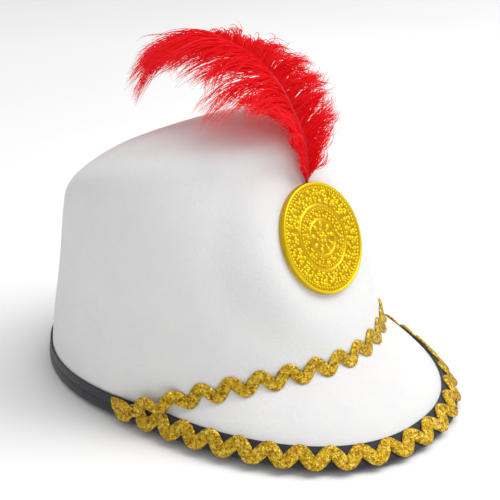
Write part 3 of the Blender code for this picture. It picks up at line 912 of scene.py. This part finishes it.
def make_crown(finish):
    front, back = columns(*CROWN_COLUMNS)
    low_front = share_at_height(crown, front, lambda y: seam_height(y) + SEAM_GAP / 2)
    low = np.concatenate([low_front, np.interp(back, SKIN.back_angles, SKIN.back_share)])
    angles = np.concatenate([front, back])
    wall = [low + (SHOULDER - low) * climb for climb in np.linspace(0, 1, WALL_ROWS)]
    top = SHOULDER + (1 - SHOULDER) * np.linspace(0, 1, TOP_ROWS)[1:]
    grid = np.array([crown(angles, share) for share in wall + [np.full_like(angles, s) for s in top]])
    around = np.roll(grid, -1, axis=1) - np.roll(grid, 1, axis=1)
    normal = unit(np.cross(around, np.gradient(grid, axis=0)))
    normal[-1] = (0, 0, 1)
    above_rim = ease(np.arange(len(grid)) / CALM_ROWS)[:, None]
    off_seat = ease((np.linalg.norm(grid - SEAT_CENTRE, axis=-1) - BADGE_RADIUS) / CALM_RING)
    grid = grid + (above_rim * off_seat * felt_wave(grid))[..., None] * normal
    mesh = grid_mesh("crown_felt", grid, closed_rows=True)
    clean(mesh, FELT_MERGE)
    face_from(mesh, np.array([0, 0, CROWN_HEIGHT / 2]))
    finish_piece("crown_felt", evaluated("crown_felt", mesh, thicken), finish, "crown")


def make_peak(finish):
    front, _ = columns(*CROWN_COLUMNS)
    rows = np.concatenate(
        [np.linspace(0, BEND_ROWS, BEND_COUNT), np.linspace(BEND_ROWS, 1, SLOPE_COUNT)[1:]]
    )
    grid, _ = peak_profile(front, rows)
    mesh = grid_mesh("peak_felt", grid, closed_rows=False)
    clean(mesh, FELT_MERGE)
    face_from(mesh, np.array([0, 0, -CROWN_HEIGHT]))
    finish_piece("peak_felt", evaluated("peak_felt", mesh, thicken), finish, "peak")


def tape_section():
    """Outline of the folded tape: distance up from the felt's edge, and height over the felt's outside."""
    near, far = TAPE_CLEARANCE, FOLD
    # Close together at the stitch groove
    stations = np.array([1, 0.97, 0.9, 0.8, 0.7, 0.6, 0.56, 0.53, 0.5, 0.47, 0.44, 0.4, 0.3, 0.2, 0.1, 0])
    dip = GROOVE_DEPTH * np.exp(-(((stations - GROOVE) / GROOVE_WIDTH) ** 2))
    swell = TAPE_SWELL * np.sin(math.pi * np.clip(stations / GROOVE, 0, 1)) ** 2
    outline = [(TAPE_WIDTH, near)]
    outline += [(TAPE_WIDTH * s, far - d + e) for s, d, e in zip(stations, dip, swell)]
    half = FELT / 2 + far
    for turn in np.linspace(0, math.pi, FOLD_COUNT)[1:-1]:
        outline.append((-far * math.sin(turn) ** 0.8, -FELT / 2 + half * math.cos(turn)))
    outline += [(TAPE_WIDTH * s, -far - FELT) for s in stations[::-3]]
    outline += [(TAPE_WIDTH, -far - FELT), (TAPE_WIDTH, -near - FELT)]
    outline += [(TAPE_WIDTH * s, -near - FELT) for s in (0.7, 0.4, 0.1)]
    outline += [(-near, -near - FELT), (-near, near)]
    outline += [(TAPE_WIDTH * s, near) for s in (0.1, 0.4, 0.7)]
    return np.array(outline)


def make_binding(finish):
    section = tape_section()
    distance, lift = section.T
    place = np.arange(0, SKIN.count, TAPE_COLUMN)
    point, normal = SKIN.at(place[:, None], distance[None, :])
    grid = point + lift[None, :, None] * normal
    grid[..., 2] = np.maximum(grid[..., 2], 0)
    # The UV runs along a line on the tape's outside, above the groove
    uv = uv_grid(lengths(grid[:, 5]), lengths(section))
    mesh = grid_mesh("binding_tape", grid, closed_rows=True, closed_columns=True, uv=uv)
    clean(mesh, FINE_MERGE)
    finish_piece("binding_tape", mesh, finish, "edge_binding")


def make_stitches(finish):
    sewn = GROOVE * TAPE_WIDTH
    fine = np.linspace(0, SKIN.count, PATH_STEPS)
    length = lengths(SKIN.at(fine, sewn)[0])
    count = int(length[-1] / STITCH_PITCH)
    spot = np.interp((np.arange(count) + 0.5) / count * length[-1], length, fine)
    centre, normal = SKIN.at(spot, sewn)
    ahead, _ = SKIN.at(spot + 0.2, sewn)
    points = centre + (FOLD - STITCH_RADIUS) * normal
    frames = turns(unit(ahead - centre), normal)
    sizes = np.tile([STITCH_LENGTH / 2, STITCH_RADIUS, STITCH_RADIUS * 0.8], (count, 1))
    mesh = scattered("binding_stitches", points, frames, sizes, finish, subdivisions=1)
    finish_piece("binding_stitches", mesh, None, None)


def turns(first, third):
    """Euler turns that point an instance's X along first and its Z along third."""
    second = unit(np.cross(third, first))
    third = np.cross(first, second)
    matrix = np.stack([first, second, third], -1)
    pitch = np.arcsin(np.clip(-matrix[:, 2, 0], -1, 1))
    roll = np.arctan2(matrix[:, 2, 1], matrix[:, 2, 2])
    yaw = np.arctan2(matrix[:, 1, 0], matrix[:, 0, 0])
    return np.stack([roll, pitch, yaw], -1)


def run_tree(name, mesh, tree, values):
    """Runs a Geometry Nodes tree on a mesh, with its sizes set by socket identifier, and returns a plain mesh."""

    def modify(source):
        grow = source.modifiers.new(name, "NODES")
        grow.node_group = tree
        for item in tree.interface.items_tree:
            if item.in_out == "INPUT" and item.name in values:
                grow[item.identifier] = values[item.name]

    return evaluated(name, mesh, modify)


def new_tree(name, sizes):
    tree = bpy.data.node_groups.new(name, "GeometryNodeTree")
    tree.interface.new_socket("Geometry", in_out="INPUT", socket_type="NodeSocketGeometry")
    tree.interface.new_socket("Geometry", in_out="OUTPUT", socket_type="NodeSocketGeometry")
    for label, kind in sizes:
        tree.interface.new_socket(label, in_out="INPUT", socket_type=kind)
    return tree, add(tree, "NodeGroupInput"), add(tree, "NodeGroupOutput")


def point_mesh(name, points, edges=()):
    mesh = bpy.data.meshes.new(name)
    mesh.from_pydata((points.reshape(-1, 3) + HEAD).tolist(), list(edges), [])
    return mesh


def scattered(name, points, frames, sizes, finish, subdivisions):
    """Small rounded lumps, one at each point, turned and stretched by the point's own values."""
    tree, start, end = new_tree(name, [("Lump radius", "NodeSocketFloat")])
    lump = add(
        tree,
        "GeometryNodeMeshIcoSphere",
        inputs={"Radius": start.outputs["Lump radius"], "Subdivisions": subdivisions},
    )
    smooth = add(tree, "GeometryNodeSetShadeSmooth", inputs={"Geometry": lump.outputs[0]})
    turn = add(tree, "GeometryNodeInputNamedAttribute", {"data_type": "FLOAT_VECTOR"}, {"Name": "turn"})
    size = add(tree, "GeometryNodeInputNamedAttribute", {"data_type": "FLOAT_VECTOR"}, {"Name": "size"})
    rotation = add(tree, "FunctionNodeEulerToRotation", inputs={0: turn.outputs[0]})
    placed = add(
        tree,
        "GeometryNodeInstanceOnPoints",
        inputs={
            "Points": start.outputs["Geometry"],
            "Instance": smooth.outputs[0],
            "Rotation": rotation.outputs[0],
            "Scale": size.outputs[0],
        },
    )
    real = add(tree, "GeometryNodeRealizeInstances", inputs={"Geometry": placed.outputs[0]})
    made = add(tree, "GeometryNodeSetMaterial", inputs={"Geometry": real.outputs[0], "Material": finish})
    tree.links.new(made.outputs[0], end.inputs[0])
    base = point_mesh(name, points)
    mark(base, "turn", frames, "FLOAT_VECTOR")
    mark(base, "size", sizes, "FLOAT_VECTOR")
    return run_tree(name, base, tree, {"Lump radius": 1.0})


def plait(along, across):
    """Height of two sets of yarns that cross over and under, as a share. Places are counted in yarns."""
    over, under = along + across, along - across
    rise = 0.5 + 0.5 * np.cos(math.pi * under)
    yarn_a = np.abs(np.cos(math.pi * over)) ** YARN_ROUNDNESS * (0.55 + 0.45 * rise)
    yarn_b = np.abs(np.cos(math.pi * under)) ** YARN_ROUNDNESS * (0.55 + 0.45 * (1 - rise))
    return np.maximum(yarn_a, yarn_b)


def make_braid(name, node, distance_of, start, lift_of, width, swing, finish):
    """A plaited strip that swings up and down along the felt's front."""
    fine = np.linspace(-BRAID_OVERRUN, SKIN.FRONT_COUNT - 1 + BRAID_OVERRUN, BRAID_PATH_STEPS)
    length = lengths(SKIN.at(fine, distance_of(fine))[0])
    corners = np.interp([0, SKIN.FRONT_COUNT - 1], fine, length)
    first = corners[0] + start
    span = corners[1] - start - first
    waves = round(span / BRAID_WAVE)
    stretch = span / (waves * BRAID_WAVE)
    step = BRAID_WAVE / STEPS_A_WAVE
    lead = LEAD_STEPS * step
    trim = round(BRAID_TRIM / step)
    run = lead + step * np.arange(trim, waves * STEPS_A_WAVE + 1 - trim)
    phase = 2 * math.pi * run / BRAID_WAVE
    middle = swing * np.sin(phase)
    slope = swing * 2 * math.pi / BRAID_WAVE * np.cos(phase)
    lean = np.stack([-slope, np.ones_like(slope)], -1) / np.hypot(1, slope)[:, None]
    stroke = lengths(np.stack([run, middle], -1))
    edge = np.linspace(-1, 1, BRAID_COLUMNS)
    half = width / 2

    # Along and beside the middle line. Inside a bend the strip would fold over, so it is held to one direction
    s = run[:, None] + lean[:, :1] * edge * half - lead
    s = (np.maximum.accumulate(s, axis=0) + np.minimum.accumulate(s[::-1], axis=0)[::-1]) / 2
    w = middle[:, None] + lean[:, 1:] * edge * half
    body = (1 - np.abs(edge) ** 4) ** 0.5
    yarns = plait(stroke[:, None] / YARN_PITCH, edge * half / YARN_PITCH)
    relief = BRAID_THICKNESS * (0.22 + 0.38 * body + 0.40 * yarns * (0.4 + 0.6 * body))

    # One more point at each side, down on the felt
    relief = np.pad(relief, ((0, 0), (1, 1)))
    s, w = (np.pad(part, ((0, 0), (1, 1)), mode="edge") for part in (s, w))
    edge = np.pad(edge, 1, mode="edge")

    # Each point's place on the felt, where lines up from the edge don't cross its line squarely
    along = first + s * stretch
    place = np.interp(along, length, fine)
    centre, _ = SKIN.at(place, distance_of(place))
    ahead, _ = SKIN.at(place + 0.5, distance_of(place + 0.5))
    above, _ = SKIN.at(place, distance_of(place) + 0.001)
    skew = np.sum(unit(above - centre) * unit(ahead - centre), axis=-1)
    straight = np.sqrt(np.maximum(1 - skew * skew, 0.2))
    beside = np.interp(along - w * skew / straight, length, fine)
    point, normal = SKIN.at(beside, distance_of(beside) + w / straight)
    grid = point + (lift_of(place) + relief)[..., None] * normal
    mesh = grid_mesh(name, grid, closed_rows=True, uv=uv_grid(stroke, edge * half))
    clean(mesh, None, fill_holes=True)
    finish_piece(name, mesh, finish, node)


def make_braids(finish):
    def on_seam(place):
        column = np.clip(place, 0, SKIN.FRONT_COUNT - 1)
        return np.interp(column, np.arange(SKIN.FRONT_COUNT), SKIN.seam)

    on_tape = TAPE_CLEARANCE + TAPE + BRAID_CLEARANCE
    over_both = on_tape + BRAID_THICKNESS + 2 * BRAID_CLEARANCE

    def seam_lift(place):
        leaving = ease((on_seam(place) - BRAID_LAP) / (BRAID_LAP / 3))
        return over_both + (CLEARANCE - over_both) * leaving

    make_braid(
        "seam_ricrac",
        "seam_braid",
        on_seam,
        SEAM_BRAID_START - CORNER_SETBACK,
        seam_lift,
        SEAM_STROKE,
        SEAM_SWING,
        finish,
    )
    make_braid(
        "peak_ricrac",
        "peak_braid",
        lambda place: np.full_like(place, TAPE_WIDTH / 2 - PEAK_BRAID_DROP),
        PEAK_BRAID_START - CORNER_SETBACK,
        lambda place: np.full_like(place, on_tape),
        PEAK_STROKE,
        PEAK_SWING,
        finish,
    )


def on_seat(x, y, z):
    """A point in the badge's own directions: right, up along the felt, and out from it."""
    return SEAT_CENTRE + x[..., None] * SEAT_RIGHT + y[..., None] * SEAT_UP + z[..., None] * SEAT_NORMAL


def make_badge(finish):
    plate = BADGE_THICKNESS - BADGE_RELIEF
    radius, height = np.array(BADGE_PROFILE).T
    dense = np.linspace(0, 1, BADGE_ROWS)
    z = np.interp(dense, radius, height)
    turn = np.linspace(0, 2 * math.pi, BADGE_COLUMNS + 1)[:-1]
    r, t = np.meshgrid(dense, turn, indexing="ij")
    hammered = HAMMERING * np.sin(9 * t + 40 * r) * np.sin(69 * r + 5 * t) * (r > 0.06) * (r < 0.92)
    top = plate + BADGE_RELIEF * (z[:, None] + hammered)
    face = on_seat(BADGE_RADIUS * r * np.cos(t), BADGE_RADIUS * r * np.sin(t), top)
    side, part = np.array(BADGE_SKIRT).T
    r, t = np.meshgrid(BADGE_RADIUS * side, turn, indexing="ij")
    level = np.broadcast_to((CLEARANCE + part * (plate - CLEARANCE))[:, None], r.shape)
    skirt = on_seat(r * np.cos(t), r * np.sin(t), level)
    mesh = grid_mesh("badge_disc", np.concatenate([face, skirt]), closed_rows=True)
    # The face's relief height, and a middle value for the side, pick the badge's colour with its painted shade.
    mark(mesh, "relief", np.concatenate([np.repeat(z, BADGE_COLUMNS), np.full(level.size, 0.45)]))
    clean(mesh, FINE_MERGE)
    finish_piece("badge_disc", mesh, finish, "badge")


def make_lumps(finish):
    """Granules, rope strands, petals and a boss cast on the badge's face, ring by ring."""
    radius, height = np.array(BADGE_PROFILE).T
    random = np.random.default_rng(BADGE_SEED)
    points, frames, sizes = [], [], []
    for share, count, width, long, aslant, jitter in BADGE_RINGS:
        angle = 2 * math.pi * (np.arange(count) + random.uniform(-jitter, jitter, count)) / count
        reach = BADGE_RADIUS * (share + PLACE_SCATTER * jitter * random.standard_normal(count))
        level = BADGE_THICKNESS - BADGE_RELIEF + BADGE_RELIEF * np.interp(share, radius, height) * LUMP_SEAT
        points.append(on_seat(reach * np.cos(angle), reach * np.sin(angle), np.full(count, level)))
        scatter = jitter * random.uniform(-TURN_SCATTER, TURN_SCATTER, count)
        lean = angle + math.radians(aslant) + scatter
        first = np.cos(lean)[:, None] * SEAT_RIGHT + np.sin(lean)[:, None] * SEAT_UP
        frames.append(turns(first, np.tile(SEAT_NORMAL, (count, 1))))
        scale = 1 + jitter * random.uniform(-SIZE_SCATTER, SIZE_SCATTER, count)
        flat = np.full(count, LUMP_HEIGHT * BADGE_RELIEF)
        sizes.append(np.stack([BADGE_RADIUS * long * scale, BADGE_RADIUS * width * scale, flat], -1))
    points, frames, sizes = (np.concatenate(part) for part in (points, frames, sizes))
    mesh = scattered("badge_lumps", points, frames, sizes, finish, subdivisions=2)
    # The lumps take the bright end of the badge's painted shade, as high relief.
    mark(mesh, "relief", np.full(len(mesh.vertices), 0.85))
    finish_piece("badge_lumps", mesh, None, None)


def quill_path(count):
    out = QUILL_RADIUS + CLEARANCE
    base = SEAT_CENTRE + np.array([PLUME_SIDE, 0, 0]) + out * SEAT_NORMAL
    seated = [base + (BADGE_RADIUS - QUILL_SEATED * k) * SEAT_UP for k in (1, 0.5, 0)]
    rows = smooth_rows(QUILL_TABLE, np.linspace(0, len(QUILL_TABLE) - 1, count)[1:])
    above = [seated[-1] + np.array([0, sweep * PLUME_SWEEP, rise * PLUME_RISE]) for sweep, rise in rows]
    return np.array(seated + above)


def strands(name, paths, girths, tone_and_tip_highlights, finish, sizes):
    """Geometry Nodes tree: each polyline becomes a thin tapered barb with hair-fine barbules all round it."""
    index = np.arange(girths.size).reshape(girths.shape)
    edges = np.stack([index[:, :-1], index[:, 1:]], -1).reshape(-1, 2)
    mesh = point_mesh(name, paths, edges.tolist())
    mark(mesh, "girth", girths)
    mark(mesh, "tone_and_tip_highlight", tone_and_tip_highlights)

    labels = ["Barb radius", "Barbule spacing", "Barbule length", "Barbule width", "Barbule lean"]
    tree, start, end = new_tree(name, [(label, "NodeSocketFloat") for label in labels])
    girth = add(tree, "GeometryNodeInputNamedAttribute", {"data_type": "FLOAT"}, {"Name": "girth"}).outputs[0]
    curve = add(tree, "GeometryNodeMeshToCurve", inputs={"Mesh": start.outputs["Geometry"]})
    radius = add(tree, "ShaderNodeMath", {"operation": "MULTIPLY"}, {0: girth, 1: start.outputs["Barb radius"]})
    ring = add(tree, "GeometryNodeCurvePrimitiveCircle", inputs={"Resolution": 3, "Radius": 1.0})
    shaft = add(
        tree,
        "GeometryNodeCurveToMesh",
        inputs={
            "Curve": curve.outputs[0],
            "Profile Curve": ring.outputs[0],
            "Scale": radius.outputs[0],
            "Fill Caps": True,
        },
    )
    dots = add(
        tree,
        "GeometryNodeCurveToPoints",
        {"mode": "LENGTH"},
        {"Curve": curve.outputs[0], "Length": start.outputs["Barbule spacing"]},
    )
    blade = add(tree, "GeometryNodeMeshCircle", {"fill_type": "NGON"}, {"Vertices": 3, "Radius": 1.0})
    shape = add(
        tree,
        "ShaderNodeCombineXYZ",
        inputs={"X": start.outputs["Barbule length"], "Y": start.outputs["Barbule width"], "Z": 1.0},
    )
    rooted = add(
        tree,
        "GeometryNodeTransform",
        inputs={"Geometry": blade.outputs[0], "Translation": (0.5, 0.0, 0.0)},
    )
    sized = add(
        tree, "GeometryNodeTransform", inputs={"Geometry": rooted.outputs[0], "Scale": shape.outputs[0]}
    )
    pitch = add(tree, "ShaderNodeCombineXYZ", inputs={"Y": start.outputs["Barbule lean"]})
    leant = add(
        tree, "GeometryNodeTransform", inputs={"Geometry": sized.outputs[0], "Rotation": pitch.outputs[0]}
    )
    roll = add(
        tree,
        "FunctionNodeRandomValue",
        {"data_type": "FLOAT_VECTOR"},
        {0: (0.0, 0.0, 0.0), 1: (0.0, 0.0, 2 * math.pi), "Seed": BARBULE_TURN_SEED},
    )
    spin = add(tree, "FunctionNodeEulerToRotation", inputs={0: roll.outputs[0]})
    facing = add(
        tree,
        "FunctionNodeRotateRotation",
        {"rotation_space": "LOCAL"},
        {"Rotation": dots.outputs["Rotation"], "Rotate By": spin.outputs[0]},
    )
    grow = add(
        tree,
        "FunctionNodeRandomValue",
        {"data_type": "FLOAT"},
        {2: 0.55, 3: 1.15, "Seed": BARBULE_GROWTH_SEED},
    )
    taper = add(tree, "ShaderNodeMath", {"operation": "MULTIPLY"}, {0: girth, 1: grow.outputs[1]})
    placed = add(
        tree,
        "GeometryNodeInstanceOnPoints",
        inputs={
            "Points": dots.outputs[0],
            "Instance": leant.outputs[0],
            "Rotation": facing.outputs[0],
            "Scale": taper.outputs[0],
        },
    )
    real = add(tree, "GeometryNodeRealizeInstances", inputs={"Geometry": placed.outputs[0]})
    joined = add(tree, "GeometryNodeJoinGeometry")
    tree.links.new(shaft.outputs[0], joined.inputs[0])
    tree.links.new(real.outputs[0], joined.inputs[0])
    made = add(tree, "GeometryNodeSetMaterial", inputs={"Geometry": joined.outputs[0], "Material": finish})
    tree.links.new(made.outputs[0], end.inputs[0])
    return run_tree(name, mesh, tree, dict(zip(labels, sizes)))


def make_quill(finish):
    """A round tapering shaft, and what the barbs need of it: its path, its tangents and its lengths."""
    path = quill_path(QUILL_STEPS)
    length = lengths(path)
    tangents = unit(np.gradient(path, axis=0))
    turn = 2 * math.pi * np.arange(QUILL_SIDES) / QUILL_SIDES
    across = unit(np.cross(tangents, np.array([1.0, 0.0, 0.0])))
    other = unit(np.cross(tangents, across))
    thick = QUILL_RADIUS * (1 - 0.75 * length / length[-1])
    ring = np.cos(turn)[None, :, None] * across[:, None] + np.sin(turn)[None, :, None] * other[:, None]
    grid = path[:, None] + thick[:, None, None] * ring
    base, tip = (np.repeat(path[end, None, None], QUILL_SIDES, axis=1) for end in (0, -1))
    mesh = grid_mesh("plume_quill", np.concatenate([base, grid, tip]), closed_rows=True)
    clean(mesh, FINE_MERGE)
    finish_piece("plume_quill", mesh, finish, "plume")
    return path, tangents, length


def make_barbs(finish, path, tangents, length):
    """Barbs on both sides of the quill: each follows the leader of its clump towards its tip, and curls."""
    free = length[2]
    steps = np.linspace(0, 1, BARB_STEPS)

    def barb_lines(at, side, column, scatter):
        """Lines of barbs that leave the quill at the given shares of its free length and droop as they go out."""
        along = free + at * (length[-1] - free)
        root = np.stack([np.interp(along, length, path[:, k]) for k in range(3)], -1)
        tangent = unit(np.stack([np.interp(along, length, tangents[:, k]) for k in range(3)], -1))
        values = smooth_rows(BARB_TABLE, at * (len(BARB_TABLE) - 1))
        reach, splay, lift, droop = values[:, column], values[:, 2], values[:, 3], values[:, 4]
        ripple = 0.5 * np.sin(at * 61 + side) + 0.35 * np.sin(at * 143 + 2 * side)
        reach = LOCK_LENGTH * reach * np.clip(1 + 0.08 * ripple + 0.09 * scatter[:, 0], 0.4, 1.2)
        splay = splay * (1 - 0.06 * np.abs(scatter[:, 1]))
        lift = lift + 0.12 * ripple + 0.12 * scatter[:, 2]
        droop = np.maximum(droop + 0.12 * ripple + 0.08 * scatter[:, 3], 0)
        away = np.stack([np.zeros(len(at)), -tangent[:, 2], tangent[:, 1]], -1)
        forward = np.sqrt(np.maximum(1 - splay**2 - lift**2, 0.02))[:, None]
        leave = unit(tangent * forward + side * splay[:, None] * np.array([1, 0, 0]) + lift[:, None] * away)
        s = steps[None, :, None]
        fall = droop[:, None, None] * s**2 * np.array([0, 0, -1.0])
        return root, root[:, None] + reach[:, None, None] * (s * leave[:, None] + fall)

    random = np.random.default_rng(PLUME_SEED)
    sides = (("plume_near_barbs", -1, 0, NEAR_CURL), ("plume_far_barbs", 1, 1, FAR_CURL))
    for name, side, column, most_curl in sides:
        at = np.sort(random.uniform(0, 1, BARBS_A_SIDE)) ** 0.92
        scatter = random.standard_normal((BARBS_A_SIDE, 4))
        _, lines = barb_lines(at, side, column, scatter)
        leader = np.clip((np.floor(at * CLUMPS_A_SIDE) + 0.5) / CLUMPS_A_SIDE, 0, 1)
        clump = (leader * CLUMPS_A_SIDE).astype(int)
        leader_scatter = random.standard_normal((CLUMPS_A_SIDE + 1, 4))[clump]
        _, led = barb_lines(leader, side, column, 1.3 * leader_scatter)
        follow = CLUMPING * steps[None, :, None] ** 1.5
        lines = lines + follow * (led - lines)
        curl = random.uniform(0, 1, BARBS_A_SIDE) ** 2 * most_curl
        spin = random.uniform(0, 2 * math.pi, BARBS_A_SIDE)
        bend = steps**2 * curl[:, None]
        wind = spin[:, None] + CURL_TURN * steps
        lines[..., 0] += bend * np.cos(wind)
        lines[..., 1] += bend * np.sin(wind) * 0.6
        lines[..., 2] += bend * np.sin(wind)
        girths = np.clip(1.0 - 0.45 * steps - 0.45 * steps**6, 0.12, 1) * np.ones((len(at), 1))
        # Tone rises towards each barb's tip, a painted highlight, and differs at random from barb to barb.
        tone_and_tip_highlights = np.clip(0.25 + 0.5 * steps + 0.18 * scatter[:, :1], 0, 1)
        sizes = (BARB_RADIUS, BARBULE_SPACING, BARBULE_LENGTH / 1.5, BARBULE_WIDTH, -BARBULE_LEAN)
        finish_piece(name, strands(name, lines, girths, tone_and_tip_highlights, finish, sizes), None, None)


def make_studio(paper):
    mesh = bpy.data.meshes.new("floor")
    corners = [(x * FLOOR_REACH, y * FLOOR_REACH, 0) for x, y in ((-1, -1), (1, -1), (1, 1), (-1, 1))]
    mesh.from_pydata(corners, [], [(0, 1, 2, 3)])
    mesh.materials.append(paper)
    floor = bpy.data.objects.new("floor", mesh)
    bpy.context.scene.collection.objects.link(floor)

    scene = bpy.context.scene
    scene.view_settings.view_transform = "Standard"
    world = bpy.data.worlds.new("studio")
    scene.world = world
    world.use_nodes = True
    background = world.node_tree.nodes["Background"]
    background.inputs["Color"].default_value = colour("#FFFFFF")
    background.inputs["Strength"].default_value = WORLD_STRENGTH

    for name, where, width, power in LAMPS:
        lamp = bpy.data.lights.new(name, "AREA")
        lamp.shape = "DISK"
        lamp.size = width
        lamp.energy = power
        held = bpy.data.objects.new(name, lamp)
        held.location = where
        held.rotation_euler = (LAMP_TARGET - Vector(where)).to_track_quat("-Z", "Y").to_euler()
        scene.collection.objects.link(held)


def make_camera():
    toward = Vector(
        (
            math.sin(VIEW_AZIMUTH) * math.cos(VIEW_ELEVATION),
            -math.cos(VIEW_AZIMUTH) * math.cos(VIEW_ELEVATION),
            math.sin(VIEW_ELEVATION),
        )
    )
    lens = bpy.data.cameras.new("photo_view")
    lens.lens = LENS_MM
    lens.sensor_width = SENSOR_MM
    lens.clip_start = NEAR_CLIP
    held = bpy.data.objects.new("photo_view", lens)
    held.location = VIEW_TARGET + VIEW_DISTANCE * toward
    held.rotation_euler = (-toward).to_track_quat("-Z", "Y").to_euler()
    bpy.context.scene.collection.objects.link(held)
    bpy.context.scene.camera = held


make_camera()
make_studio(floor_material())
felt = felt_material()
make_crown(felt)
make_peak(felt)
make_binding(tape_material())
make_stitches(thread_material())
make_braids(braid_material())
gold = badge_material()
make_badge(gold)
make_lumps(gold)
quill = make_quill(quill_material())
make_barbs(feather_material(), *quill)
